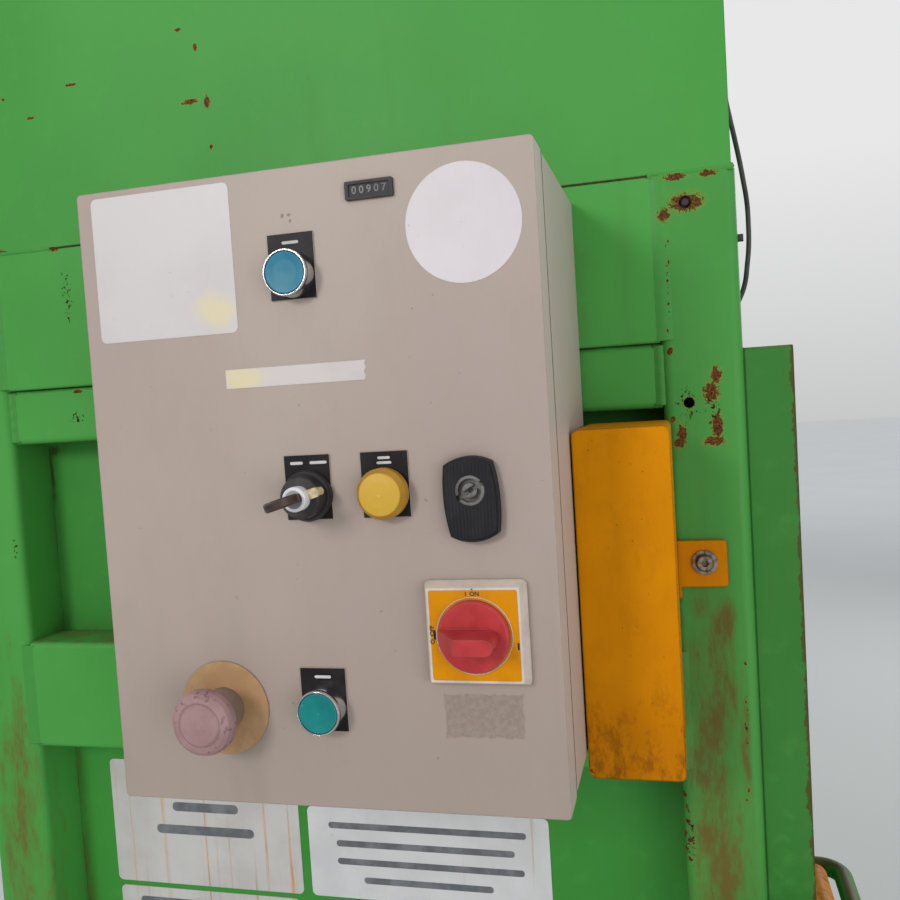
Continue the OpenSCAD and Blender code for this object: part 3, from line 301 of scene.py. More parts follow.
CASING_RUST = SEAM_FRONT + SEAM_REAR + marks(WALL, 0.02, [
    (85.0, 1700.0, 7.0, 2.2), (69.0, 1698.0, 2.6, 5.0), (68.0, 1660.0, 1.6, 2.0),
    (76.0, 1744.5, 1.6, 3.4), (91.0, 1761.0, 3.2, 1.3), (200.0, 1731.0, 5.0, 1.3),
    (244.0, 1708.0, 3.8, 1.1), (271.0, 1728.0, 1.6, 1.2)])

# Places where the rust shows as scattered specks
POST_SPECKS = marks(WALL, 0.02, [
    (-298.5, 1078.0, 7.0, 38.0), (-345.4, 1170.0, 2.2, 50.0), (-302.7, 1512.0, 1.4, 56.0),
    (-331.0, 1410.2, 11.0, 30.0), (-311.7, 1418.1, 15.0, 24.0)])
HEADER_SPECKS = marks(WALL, 0.02, [
    (222.0, 1546.7, 9.0, 48.0), (302.0, 1320.0, 5.0, 18.0), (226.0, 1437.0, 14.0, 12.0)])

# Brown smears, and the dark runs in the corner under the slim rail
POST_SMEARS = marks(WALL, 0.03, [
    (-314.0, 1262.0, 9.0, 14.0), (-333.0, 1250.0, 9.0, 20.0), (-311.0, 1215.0, 9.0, 32.0),
    (-310.0, 1135.0, 12.0, 30.0), (-327.0, 1118.0, 12.0, 34.0), (-343.0, 1135.0, 5.0, 52.0),
    (-323.0, 1090.0, 17.0, 26.0), (-334.0, 1062.0, 14.0, 16.0), (-322.0, 1030.0, 18.0, 34.0),
    (-325.0, 940.0, 24.0, 110.0), (-320.0, 600.0, 24.0, 220.0), (-322.0, 1075.0, 27.0, 88.0),
    (-318.0, 1190.0, 22.0, 66.0)])
REAR_SMEARS = marks(WALL, 0.03, [
    (320.0, 1020.0, 24.0, 160.0)])
SKIN_SMEARS = marks(SKIN, 0.03, [
    (120.0, 1412.0, 120.0, 5.0), (294.0, 900.0, 8.0, 200.0)])
SKIN_STAINS = marks(SKIN, 0.02, [
    (297.2, 1407.6, 20.0, 7.0), (293.9, 1383.7, 3.6, 34.0), (297.2, 1329.2, 3.2, 50.0),
    (306.1, 1218.7, 4.0, 90.0)])


def green_paint(name, light, dark, spots=(), specks=(), smears=(), stains=(), age=1.0, wear=0.54,
                rim=None):
    """Green paint with a piece's rust and smears; rim is the Y of a rusty edge, as on the doors."""
    m = Mat(name, 0.0014)
    base = m.mix(m.step(m.noise(2.3, 3, 0.6), 0.34, 0.68), dark, light)
    fine = m.noise(60, 3, 0.6)
    base = m.cover(base, m.step(fine, 0.5, 0.8), 0.18, lin(84, 166, 78))
    drips = m.noise(6.0, 4, 0.6, stretch=(3.2, 3.2, 0.28))
    grime = m.mul(m.step(drips, 0.56, 0.80), 0.26 * age)
    base = m.mix(grime, base, lin(84, 92, 44))
    cloud = m.step(m.noise(20, 3, 0.7, offset=(6, 1, 1)), 0.34, 0.58)
    dust = m.mul(m.step(m.facing()[2], 0.6, 0.9), cloud)
    base = m.cover(base, dust, 0.55, lin(112, 92, 56))
    ground = m.fall(m.split()[2], 0.02, 0.50)
    splash = m.step(m.noise(14, 4, 0.75, stretch=(1, 1, 0.6), offset=(3, 8, 2)), 0.40, 0.62)
    base = m.cover(base, m.mul(ground, splash), 0.55, lin(86, 78, 48))
    if smears:
        streaks = m.wobble(2.6, 70, 4, 0.75, stretch=(1, 1, 0.22))
        soft = m.fall(m.blobs(smears, streaks), 0.3, 1.4)
        patchy = m.step(m.noise(52, 6, 0.80, stretch=(1, 1, 0.3), offset=(2, 2, 5)), 0.38, 0.62)
        patchy = m.add(0.22, m.mul(patchy, 0.78))
        base = m.cover(base, m.mul(soft, patchy), 0.88, BROWN)
    if stains:
        runs = m.wobble(2.6, 120, 4, 0.75, stretch=(1, 1, 0.25))
        dark_run = m.fall(m.blobs(stains, runs), 0.4, 1.1)
        base = m.cover(base, dark_run, 0.72, STAIN)
    edge = m.edges()
    chips = m.step(m.add(m.noise(70, 5, 0.75), m.mul(edge, 0.10)), 0.745, 0.770)
    rare = m.step(m.noise(7, 2, 0.5, offset=(3.1, 0.2, 1.7)), 0.54, 0.66)
    chips = m.mul(chips, m.most(rare, m.mul(edge, 0.8)))
    worn_edge = m.mul(edge, m.step(m.noise(38, 3, 0.7, offset=(5, 1, 2)), wear, wear + 0.09))
    if rim is not None:
        y = m.split()[1]
        worn_edge = m.mul(worn_edge, m.fall(y, rim + 0.010, rim + 0.014))
        side = m.fall(m.size(m.facing()[1]), 0.4, 0.6)
        torn = m.wobble(0.016, 60, 5, 0.78, offset=(1, 2, 8))
        line = m.fall(m.add(y, torn), rim - 0.0006, rim + 0.0004)
        base = m.cover(base, m.mul(line, side), 0.8, m.mix(0.4, RUST_DARK, BROWN))
    base = m.cover(base, worn_edge, 0.75 * age, RUST_DARK)
    # darker in corners and joints: painted shade, mixed with patchy grime
    corner_shade_and_grime = m.mul(m.crevice(0.030), m.step(m.noise(22, 3, 0.65, offset=(1, 7, 3)), 0.36, 0.62))
    base = m.cover(base, corner_shade_and_grime, 0.5 * age, lin(70, 62, 30))
    grit = m.noise(520, 3, 0.75)
    rust_tone = m.mix(m.step(grit, 0.30, 0.48), RUST_DARK, RUST)
    rust_tone = m.mix(m.step(grit, 0.50, 0.66), rust_tone, RUST_LIGHT)
    rusty = chips
    if spots:
        ragged = m.wobble(4.0, 340, 6, 0.85)
        d = m.blobs(spots, ragged)
        halo = m.fall(d, 1.00, 1.24)
        base = m.cover(base, halo, 0.7, HALO)
        spot = m.fall(d, 0.97, 1.01)
        rust_tone = m.mix(m.mul(m.mul(spot, m.step(d, 0.50, 0.86)), 0.5), rust_tone, RUST_DARK)
        rusty = m.most(spot, rusty)
    if specks:
        near = m.fall(m.blobs(specks, 0.0), 0.35, 1.15)
        flecks = m.add(m.noise(300, 4, 0.65, offset=(4, 2, 6)), m.mul(near, 0.28))
        fleck = m.step(flecks, 0.835, 0.855)
        rust_tone = m.mix(fleck, rust_tone, RUST_DARK)
        rusty = m.most(fleck, rusty)
    color = m.mix(rusty, base, rust_tone)
    rough = m.add(0.40, m.mul(m.most(rusty, m.most(corner_shade_and_grime, grime)), 0.45))
    rough = m.add(rough, m.mul(fine, 0.10))
    height = m.add(m.mul(m.noise(170, 3, 0.5), 0.35), m.mul(m.noise(9, 2, 0.5), 1.4))
    return m.set(color=color, rough=rough, normal=m.bump(height, 0.26, 0.0008, m.bevel()),
                 spec=0.18)


def enclosure_paint():
    """Beige powder coat with its dark joint and the patch of old glue under the isolator."""
    m = Mat("enclosure_powder_coat", 0.0011)
    broad = m.noise(4.0, 2, 0.55)
    base = m.mix(m.step(broad, 0.35, 0.7), lin(169, 153, 144), lin(176, 161, 151))
    cloud = m.step(m.noise(26, 4, 0.7, stretch=(1, 1, 0.6), offset=(7, 3, 5)), 0.42, 0.70)
    base = m.cover(base, cloud, 0.22, lin(160, 145, 133))
    xyz = m.split()
    # darker towards the bottom: painted shade, with grime stains over it
    low = m.fall(xyz[2], 1.19, 1.36)
    stain = m.step(m.noise(7, 3, 0.65, stretch=(2.2, 2.2, 0.5), offset=(2, 4, 1)), 0.46, 0.72)
    base = m.cover(base, low, 0.5, lin(152, 138, 128))
    base = m.cover(base, m.mul(low, stain), 0.30, lin(134, 122, 100))
    specks = m.step(m.noise(240, 2, 0.4, offset=(9, 1, 1)), 0.785, 0.80)
    base = m.cover(base, specks, 0.35, lin(96, 82, 66))
    wob = m.wobble(2.0, 900, 4, 0.7)
    scar = m.fall(m.blobs(marks(FACE, 0.004, SCARS), wob), 0.8, 1.1)
    base = m.cover(base, scar, 0.55, lin(84, 74, 66))
    edge = m.edges()
    # edges painted paler: a painted highlight along the folds
    edge_highlight_and_wear = m.mul(edge, m.step(m.noise(60, 5, 0.7), 0.50, 0.60))
    base = m.cover(base, edge_highlight_and_wear, 0.5, lin(214, 208, 200))
    # corners and the door's gap darkened: painted shade, with some grime
    corner_shade_and_grime = m.crevice(0.010)
    base = m.cover(base, corner_shade_and_grime, 0.6, lin(84, 72, 60))
    # the side faces painted lighter as a painted highlight, and the dark joint between the door's
    # fold and the body
    joint = m.fall(m.size(m.sub(xyz[0], JOINT)), 0.0030, 0.0042)
    side = m.step(m.size(m.facing()[1]), 0.4, 0.6)
    base = m.cover(base, side, 0.6, lin(200, 186, 176))
    base = m.cover(base, m.mul(joint, side), 0.9, lin(50, 42, 38))
    # the patch of old glue under the isolator
    y, z = panel(*GLUE)
    wob = m.wobble(0.0045, 210, 4, 0.6)
    dy = m.size(m.sub(xyz[1], y))
    dz = m.size(m.sub(xyz[2], z))
    gap = m.add(m.most(m.sub(dy, GLUE_HALF[0]), m.sub(dz, GLUE_HALF[1])), wob)
    patch = m.fall(gap, -0.0008, 0.0005)
    patch = m.mul(patch, m.fall(xyz[0], FACE + 0.001, FACE + 0.002))
    glue = m.mix(m.step(m.noise(330, 5, 0.7), 0.40, 0.62), lin(134, 119, 107), lin(148, 134, 122))
    base = m.cover(base, patch, 0.72, glue)
    grain = m.noise(900, 3, 0.6)
    rough = m.add(0.46, m.mul(m.most(patch, corner_shade_and_grime), 0.3))
    height = m.add(grain, m.mul(patch, m.noise(500, 3, 0.6)))
    normal = m.bump(height, 0.16, 0.0004, m.bevel())
    return m.set(color=base, rough=rough, normal=normal, spec=0.28)


def amber_paint(name):
    """Amber paint, grimy low down and chipped along its edges."""
    m = Mat(name, 0.0018)
    base = m.mix(m.step(m.noise(9, 3, 0.6), 0.35, 0.7), lin(203, 126, 0), lin(214, 137, 0))
    xyz = m.split()
    low = m.fall(xyz[2], 1.17, 1.25)
    base = m.cover(base, low, 0.55, lin(172, 98, 0))
    blotches = m.step(m.noise(64, 6, 0.8, stretch=(1, 1, 0.5)), 0.46, 0.64)
    grime = m.mul(m.add(m.mul(low, 0.8), 0.15), blotches)
    base = m.cover(base, grime, 0.7, lin(112, 62, 8))
    edge = m.edges()
    edge_highlight_and_wear = m.mul(edge, m.step(m.noise(90, 5, 0.7), 0.30, 0.42))
    base = m.cover(base, edge_highlight_and_wear, 0.9, lin(52, 28, 8))
    specks = m.step(m.noise(230, 5, 0.7, offset=(2, 2, 2)), 0.675, 0.705)
    base = m.cover(base, specks, 0.85, lin(66, 34, 10))
    # darker in corners: painted shade, with grime
    corner_shade_and_grime = m.mul(m.crevice(0.010), 0.5)
    base = m.mix(corner_shade_and_grime, base, lin(58, 34, 10))
    rough = m.add(0.38, m.mul(m.most(grime, edge_highlight_and_wear), 0.35))
    height = m.sub(m.noise(130, 3, 0.5), m.mul(specks, 0.6))
    return m.set(color=base, rough=rough, normal=m.bump(height, 0.25, 0.0006, m.bevel()), spec=0.07)


def plastic(name, tone, shade, rough=0.42, grain=420, bump=0.12, corner_shade_and_grime_tone=None, corner_shade_and_grime=0.35,
            coat=0.0, bevel=0.0006, spec=0.35):
    """Moulding with lighter edges, and its corners darkened: painted shade with grime."""
    m = Mat(name, bevel)
    base = m.mix(m.step(m.noise(55, 4, 0.6), 0.38, 0.68), tone, shade)
    edge = m.edges()
    base = m.cover(base, edge, 0.25, m.mix(0.5, tone, lin(235, 230, 222)))
    # darker in corners: painted shade, with grime
    crev = m.mul(m.crevice(0.004), corner_shade_and_grime)
    base = m.mix(crev, base, corner_shade_and_grime_tone or lin(48, 40, 34))
    r = m.add(rough, m.mul(m.noise(130, 4, 0.6), 0.14))
    return m.set(color=base, rough=r,
                 normal=m.bump(m.noise(grain, 3, 0.5), bump, 0.0003, m.bevel()),
                 coat=coat, coat_rough=0.25, spec=spec)


def metal(name, tone, shade, rough=0.28, brush=None, grime=0.35, bevel=0.0006, scale=60):
    """Bare or plated metal, darker and duller in its corners as painted shade with grime; brush
    stretches its grain.
    """
    m = Mat(name, bevel)
    base = m.mix(m.step(m.noise(scale, 4, 0.6), 0.36, 0.68), tone, shade)
    # grime sets how dark the corners are painted: painted shade with grime
    crev = m.mul(m.crevice(0.004), grime)
    base = m.mix(crev, base, lin(58, 46, 36))
    lines = m.noise(240, 3, 0.5, stretch=brush or (1, 1, 1))
    r = m.add(rough, m.mul(lines, 0.16))
    return m.set(color=base, metal=m.sub(1.0, m.mul(crev, 0.6)), rough=r,
                 normal=m.bump(lines, 0.10, 0.0003, m.bevel()))


def legend_material():
    """Black face with the pale core of the laminate showing at the cut sides."""
    m = Mat("legend_laminate")
    side = m.fall(m.size(m.facing()[0]), 0.4, 0.8)
    face = m.mix(m.step(m.noise(80, 4, 0.6), 0.4, 0.7), lin(28, 25, 26), lin(38, 35, 36))
    scuffs = m.mul(m.step(m.noise(150, 5, 0.7, stretch=(1, 0.4, 1)), 0.62, 0.75), 0.22)
    face = m.mix(scuffs, face, lin(92, 88, 86))
    return m.set(color=m.mix(side, face, lin(186, 178, 168)), rough=m.add(0.42, m.mul(scuffs, 0.8)),
                 normal=m.bump(m.noise(600, 2, 0.5), 0.08, 0.0002), spec=0.15)


def barrel_material():
    """Black barrel with a white ring, a chrome core and a cream pointer."""
    m = Mat("key_barrel_parts", 0.0005)
    xyz = m.split()
    r = m.away(*KEY)
    out = m.sub(FACE, xyz[0])
    proud = m.step(out, *RING_OUT)
    ring = m.mul(proud, m.fall(r, *RING_R))
    core = m.mul(m.fall(r, *CORE_R), m.step(out, *CORE_OUT))
    overhang = m.mul(m.step(r, *RIM_R), m.step(out, *RIM_OUT))
    proud = m.most(proud, overhang)
    body = m.mix(m.step(m.noise(90, 4, 0.6), 0.4, 0.68), lin(38, 34, 34), lin(58, 52, 50))
    pointer = m.mix(m.step(m.noise(300, 4, 0.65), 0.42, 0.62), lin(206, 190, 150),
                    lin(176, 154, 112))
    color = m.mix(proud, body, pointer)
    color = m.mix(ring, color, lin(228, 226, 228))
    color = m.mix(core, color, lin(150, 152, 156))
    # darker in corners: painted shade, with grime
    corner_shade_and_grime = m.mul(m.crevice(0.003), 0.45)
    color = m.mix(corner_shade_and_grime, color, lin(40, 34, 30))
    rough = m.add(0.36, m.mul(m.noise(160, 4, 0.6), 0.15))
    return m.set(color=color, metal=core, rough=rough,
                 normal=m.bump(m.noise(500, 2, 0.5), 0.1, 0.0002, m.bevel()))


def head_material():
    """Sun-faded red head, dull pink, with dark scuffs round the rim."""
    m = Mat("estop_faded_head")
    base = m.mix(m.step(m.noise(45, 5, 0.6), 0.36, 0.68), lin(150, 117, 117), lin(164, 131, 130))
    rim = m.step(m.away(*ESTOP), 0.0115, 0.0175)
    scuffs = m.step(m.add(m.noise(190, 8, 0.8), m.mul(rim, 0.09)), 0.650, 0.690)
    base = m.cover(base, scuffs, 0.8, lin(82, 54, 56))
    # darker in corners: painted shade, with grime
    corner_shade_and_grime = m.mul(m.crevice(0.004), 0.6)
    base = m.mix(corner_shade_and_grime, base, lin(110, 76, 80))
    return m.set(color=base, rough=m.add(0.52, m.mul(scuffs, 0.2)), spec=0.3,
                 normal=m.bump(m.sub(m.noise(260, 4, 0.6), scuffs), 0.16, 0.0004, m.bevel()))


def ribbed_cover():
    """Dark lock cover with fine upright ribs on its face."""
    m = Mat("lock_cover_ribs", 0.0009)
    xyz = m.split()
    wave = m.math("SINE", m.mul(xyz[1], 2 * math.pi / RIB_PITCH))
    face = m.fall(xyz[0], *RIB_FACE)
    ribs = m.mul(m.step(wave, -0.2, 0.9), face)
    base = m.mix(m.step(m.noise(70, 4, 0.6), 0.4, 0.7), lin(28, 27, 30), lin(38, 36, 40))
    base = m.cover(base, m.sub(1.0, ribs), 0.35, lin(30, 30, 33))
    edge = m.edges()
    base = m.cover(base, edge, 0.3, lin(104, 104, 106))
    rough = m.add(0.44, m.mul(m.noise(140, 4, 0.6), 0.14))
    return m.set(color=base, rough=rough, normal=m.bump(ribs, 0.55, 0.0006, m.bevel()), spec=0.2)


def lamp_material():
    """Amber lens on a dark foot."""
    m = Mat("amber_lens", 0.0008)
    xyz = m.split()
    front = m.fall(xyz[0], *LENS_FRONT)
    lens = m.fall(xyz[0], *LENS_FOOT)
    base = m.mix(front, lin(172, 126, 28), lin(204, 162, 44))
    base = m.cover(base, m.step(m.noise(60, 3, 0.5), 0.45, 0.7), 0.3, lin(196, 152, 44))
    base = m.mix(lens, lin(46, 42, 40), base)
    # darker in corners: painted shade, with grime
    corner_shade_and_grime = m.mul(m.crevice(0.003), 0.3)
    base = m.mix(corner_shade_and_grime, base, lin(84, 60, 24))
    return m.set(color=base, rough=m.add(0.40, m.mul(m.noise(180, 3, 0.5), 0.12)),
                 subsurface=0.12, normal=m.bump(m.noise(420, 2, 0.5), 0.06, 0.0002, m.bevel()))


def cap_material(name, light, dark):
    """Scuffed push-button cap, pale at its rim."""
    m = Mat(name, 0.0007)
    base = m.mix(m.step(m.noise(40, 4, 0.6), 0.36, 0.7), dark, light)
    scuffs = m.step(m.noise(210, 5, 0.7, stretch=(1, 0.6, 1)), 0.64, 0.74)
    base = m.cover(base, scuffs, 0.25, lin(180, 205, 208))
    edge = m.edges()
    base = m.cover(base, edge, 0.35, lin(150, 205, 205))
    # darker in corners: painted shade, with grime
    corner_shade_and_grime = m.mul(m.crevice(0.003), 0.5)
    base = m.mix(corner_shade_and_grime, base, lin(20, 50, 56))
    return m.set(color=base, rough=m.add(0.38, m.mul(scuffs, 0.2)), spec=0.25,
                 normal=m.bump(m.noise(380, 3, 0.5), 0.08, 0.0002, m.bevel()))


def label_material(name, tone, shade, stains=0.0, spots=(), lo=0.60):
    """Sticker or sign with yellowed spots and, where stains is above 0, rusty runs."""
    m = Mat(name)
    base = m.mix(m.step(m.noise(14, 5, 0.6), 0.36, 0.7), tone, shade)
    runs = 0.0
    if stains:
        runs = m.step(m.noise(16, 4, 0.6, stretch=(7, 7, 0.12), offset=(2, 5, 0)), lo, lo + 0.12)
        rusty_run = m.step(m.noise(40, 4, 0.7, stretch=(2, 2, 0.3)), 0.42, 0.62)
        base = m.cover(base, runs, stains, m.mix(rusty_run, lin(206, 150, 84), lin(158, 102, 54)))
    specks = m.step(m.noise(230, 3, 0.5), 0.72, 0.75)
    base = m.cover(base, specks, 0.3, lin(128, 116, 100))
    if spots:
        wob = m.wobble(1.2, 70, 4, 0.6)
        d = m.blobs(spots, wob)
        base = m.cover(base, m.fall(d, 0.3, 1.3), 0.55, lin(222, 206, 138))
    # edges darker: painted shade along the plate's edge
    edge = m.edges()
    base = m.cover(base, edge, 0.35, lin(168, 160, 150))
    return m.set(color=base, rough=m.add(0.42, m.mul(runs, 0.3)),
                 normal=m.bump(m.noise(120, 3, 0.5), 0.10, 0.0003))


LEAF = lin(77, 159, 71)
LEAF_SHADE = lin(68, 149, 62)
GREEN = green_paint("green_paint_wall", LEAF, LEAF_SHADE, HEADER_RUST, HEADER_SPECKS, REAR_SMEARS)
GREEN_POST = green_paint("green_paint_post", lin(73, 149, 67), lin(63, 138, 57), POST_RUST,
                         POST_SPECKS, POST_SMEARS)
GREEN_CASING = green_paint("green_paint_casing", lin(74, 155, 68), lin(65, 145, 59), CASING_RUST)
# the skins' tones are darker than the wall's: painted shade for the recessed skins
GREEN_SKIN = green_paint("green_paint_skins", lin(66, 146, 62), lin(56, 134, 51),
                         smears=SKIN_SMEARS, stains=SKIN_STAINS)
GREEN_PLAIN = green_paint("green_paint_rest", LEAF, LEAF_SHADE)
# the doors' tones are darker than the wall's: painted shade on the door edges
GREEN_DOOR = green_paint("green_paint_doors", lin(56, 124, 50), lin(49, 114, 43), wear=0.44,
                         rim=DOOR_FRONT)
GREEN_DARK = green_paint("green_paint_inside", lin(54, 132, 50), lin(44, 114, 42), age=1.3)
BEIGE = enclosure_paint()
AMBER = amber_paint("guard_amber_paint")
AMBER_LEVER = amber_paint("lever_amber_paint")
ZINC = metal("zinc_plate", lin(176, 176, 172), lin(150, 150, 146), rough=0.34)
BOLTS = metal("bolt_zinc", lin(158, 150, 138), lin(104, 92, 76), rough=0.42, grime=0.9, scale=260)
LOCK = metal("lock_zinc", lin(124, 122, 120), lin(94, 92, 90), rough=0.44, grime=0.9, scale=120)
STEEL = metal("pipe_steel", lin(160, 162, 165), lin(128, 130, 134), rough=0.36)
MOTOR = metal("motor_casting", lin(108, 114, 120), lin(86, 92, 98), rough=0.48, scale=20,
              bevel=0.002)
CHROME = metal("bezel_chrome", lin(214, 214, 216), lin(186, 186, 190), rough=0.12, grime=0.5)
ROD_CHROME = metal("rod_chrome", lin(210, 212, 214), lin(196, 198, 202), rough=0.10,
                   brush=(1, 1, 0.02), grime=0.2)
BLACK = plastic("black_moulding", lin(34, 33, 34), lin(48, 46, 46), spec=0.3)
BLOCKS = plastic("switchgear_moulding", lin(58, 60, 64), lin(78, 80, 84))
TANK = plastic("black_enamel", lin(34, 35, 37), lin(48, 49, 51), rough=0.34, grain=160, corner_shade_and_grime=0.5,
               bevel=0.002)
RUBBER = plastic("seal_rubber", lin(28, 28, 28), lin(44, 43, 42), rough=0.62, grain=700)
CABLE = plastic("cable_sheath", lin(58, 57, 58), lin(78, 76, 76), rough=0.46, grain=260, corner_shade_and_grime=0.2)
KEYP = plastic("key_moulding", lin(46, 30, 24), lin(66, 42, 32), rough=0.34, grain=300, coat=0.2,
               bevel=0.0012)
DISC = plastic("estop_disc_faded", lin(166, 128, 90), lin(180, 144, 104), rough=0.5,
               corner_shade_and_grime_tone=lin(150, 112, 62))
COLLAR = plastic("estop_collar_faded", lin(126, 106, 94), lin(146, 124, 112), rough=0.5,
                 corner_shade_and_grime_tone=lin(84, 62, 58))
STEM = plastic("estop_stem_faded", lin(150, 116, 118), lin(164, 130, 132), rough=0.5,
               corner_shade_and_grime_tone=lin(84, 56, 58))
HEAD = head_material()
CREAM = plastic("isolator_cream", lin(214, 200, 188), lin(198, 182, 168), rough=0.42,
                corner_shade_and_grime_tone=lin(116, 84, 60), corner_shade_and_grime=0.6, bevel=0.0009)
RED = plastic("isolator_red", lin(186, 54, 56), lin(168, 42, 46), rough=0.34,
              corner_shade_and_grime_tone=lin(84, 16, 20), corner_shade_and_grime=0.8, bevel=0.0009)
LEGEND = legend_material()
BARREL = barrel_material()
RIBS = ribbed_cover()
LAMP = lamp_material()
CAP_HI = cap_material("cap_blue", lin(52, 132, 156), lin(42, 118, 142))
CAP_LO = cap_material("cap_teal", lin(20, 134, 130), lin(12, 116, 114))

node_materials = {
    "base_frame": GREEN_DARK, "front_left_post": GREEN_POST, "front_right_post": GREEN_PLAIN,
    "rear_posts": GREEN, "left_rails": GREEN, "right_rails": GREEN_PLAIN, "rear_rails": GREEN_PLAIN,
    "top_ring": GREEN, "side_skins": GREEN_SKIN, "rear_skin": GREEN_DARK,
    "chamber_floor": GREEN_DARK, "casing_left": GREEN_CASING, "casing_right": GREEN_PLAIN,
    "casing_rear": GREEN_PLAIN, "casing_front": GREEN_PLAIN, "casing_top": GREEN_PLAIN,
    "crosshead": GREEN_DARK, "cylinder_barrel": TANK, "piston_rod": ROD_CHROME,
    "platen": GREEN_DARK, "guide_rods": ROD_CHROME, "oil_tank": TANK, "pump_motor": MOTOR,
    "valve_block": ZINC, "hydraulic_pipes": STEEL, "loading_door": GREEN_DOOR,
    "main_door": GREEN_DOOR, "hinge_lugs": GREEN_PLAIN, "hinge_pins": ZINC,
    "loading_latch": AMBER_LEVER, "main_latch": AMBER_LEVER, "latch_keepers": GREEN_PLAIN,
    "enclosure_body": BEIGE, "enclosure_door": BEIGE, "enclosure_hinge_pins": ZINC,
    "door_seal": RUBBER, "mounting_plate": ZINC, "switchgear": BLOCKS, "panel_bolts": BOLTS,
    "cable_glands": BLACK, "legend_plates": LEGEND, "button_bodies": CHROME,
    "start_cap_upper": CAP_HI, "start_cap_lower": CAP_LO, "bale_lamp": LAMP,
    "key_switch_body": BLACK, "key_barrel": BARREL, "switch_key": KEYP, "estop_disc": DISC,
    "estop_collar": COLLAR, "estop_stem": STEM, "estop_head": HEAD, "isolator_plate": CREAM,
    "isolator_knob": RED, "counter": BLACK, "lock_cover": RIBS, "lock_insert": LOCK,
    "cable_guard": AMBER, "sensor_cable": CABLE, "cable_fittings": BLACK,
}
for name, material in node_materials.items():
    for slot in nodes[name].material_slots:
        slot.material = material


# Small pieces added to the frame


def link(name, mesh, material, body):
    """Puts a piece in the scene, with its material, on a body of the frame."""
    obj = bpy.data.objects.new(name, mesh)
    scene.collection.objects.link(obj)
    obj.data.materials.append(material)
    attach(obj, body)


def finished(bm, name):
    """The mesh of a bmesh, which is freed."""
    mesh = bpy.data.meshes.new(name)
    bm.to_mesh(mesh)
    bm.free()
    return mesh


def disc(d, n):
    """Points of a circle about the origin, anticlockwise."""
    return [(d / 2 * math.cos(2 * math.pi * i / n),
             d / 2 * math.sin(2 * math.pi * i / n)) for i in range(n)]


def rounded(w, h, r, n=6):
    """Points of a rounded rectangle about the origin, anticlockwise."""
    cx, cy = w / 2 - r, h / 2 - r
    pts = []
    for x, y, start in ((cx, cy, 0), (-cx, cy, 90), (-cx, -cy, 180), (cx, -cy, 270)):
        for i in range(n + 1):
            a = math.radians(start + 90 * i / n)
            pts.append((x + r * math.cos(a), y + r * math.sin(a)))
    return pts


def prism(points, t):
    """A closed prism on the outline: its back at z=0 and its face at z=t."""
    bm = bmesh.new()
    low = [bm.verts.new((x, y, 0)) for x, y in points]
    high = [bm.verts.new((x, y, t)) for x, y in points]
    bm.faces.new(list(reversed(low)))
    bm.faces.new(high)
    for i in range(len(points)):
        k = (i + 1) % len(points)
        bm.faces.new((low[i], low[k], high[k], high[i]))
    return finished(bm, "prism")


def wall_matrix(x, place, turn=0.0):
    """Puts a piece drawn with x right, y up and z towards the viewer on a face towards -X."""
    y, z = place
    base = Matrix(((0, 0, -1, x), (-1, 0, 0, y), (0, 1, 0, z), (0, 0, 0, 1)))
    return base @ Matrix.Rotation(math.radians(turn), 4, "Z")


def plate(name, x, place, points, t, material, body):
    """A flat piece of an outline, its back at x and its middle at a (y, z) place."""
    mesh = prism(points, t)
    mesh.transform(wall_matrix(x, place))
    mesh.update()
    link(name, mesh, material, body)


def bars(name, x, rows, centre, body, material):
    """Print shown as plain bars: rows of (x, z, width, height) in millimetres about a centre."""
    bm = bmesh.new()
    for bx, bz, w, h in rows:
        mesh = prism(rounded(w / 1000, h / 1000, min(w, h) / 2200, 3), PRINT_THICK)
        mesh.transform(wall_matrix(x, panel(centre[0] + bx, centre[1] + bz)))
        bm.from_mesh(mesh)
        bpy.data.meshes.remove(mesh)
    link(name, finished(bm, name), material, body)


def ring(name, x, place, r0, r1, t, material, body, slot, n=64):
    """A flat ring on a face that looks towards -X."""
    bm = bmesh.new()
    rows = []
    for i in range(n):
        a = math.radians(360.0 * i / n)
        c, s = math.cos(a), math.sin(a)
        corners = ((r0 * c, r0 * s, 0), (r1 * c, r1 * s, 0), (r1 * c, r1 * s, t),
                   (r0 * c, r0 * s, t))
        rows.append([bm.verts.new(v) for v in corners])
    for i in range(n):
        a, b = rows[i], rows[(i + 1) % n]
        for j in range(4):
            k = (j + 1) % 4
            bm.faces.new((a[j], b[j], b[k], a[k]))
    bmesh.ops.recalc_face_normals(bm, faces=bm.faces)
    mesh = finished(bm, name)
    mesh.transform(wall_matrix(x, place))
    link(name, mesh, material, body)


def words(name, text, size, x, place, material, body, turn=0.0):
    """Generic letters or digits, a little bolder than the font's."""
    curve = bpy.data.curves.new(name, "FONT")
    curve.body = text
    curve.size = size
    curve.align_x = "CENTER"
    curve.align_y = "CENTER"
    curve.extrude = PRINT_THICK / 2
    curve.offset = size * BOLDER
    obj = bpy.data.objects.new(name + "_text", curve)
    scene.collection.objects.link(obj)
    bpy.context.view_layer.update()
    mesh = bpy.data.meshes.new_from_object(obj.evaluated_get(bpy.context.evaluated_depsgraph_get()))
    bpy.data.objects.remove(obj)
    mesh.name = name
    mesh.transform(wall_matrix(x, place, turn))
    mesh.materials.clear()
    link(name, mesh, material, body)


# Stickers on the enclosure's door

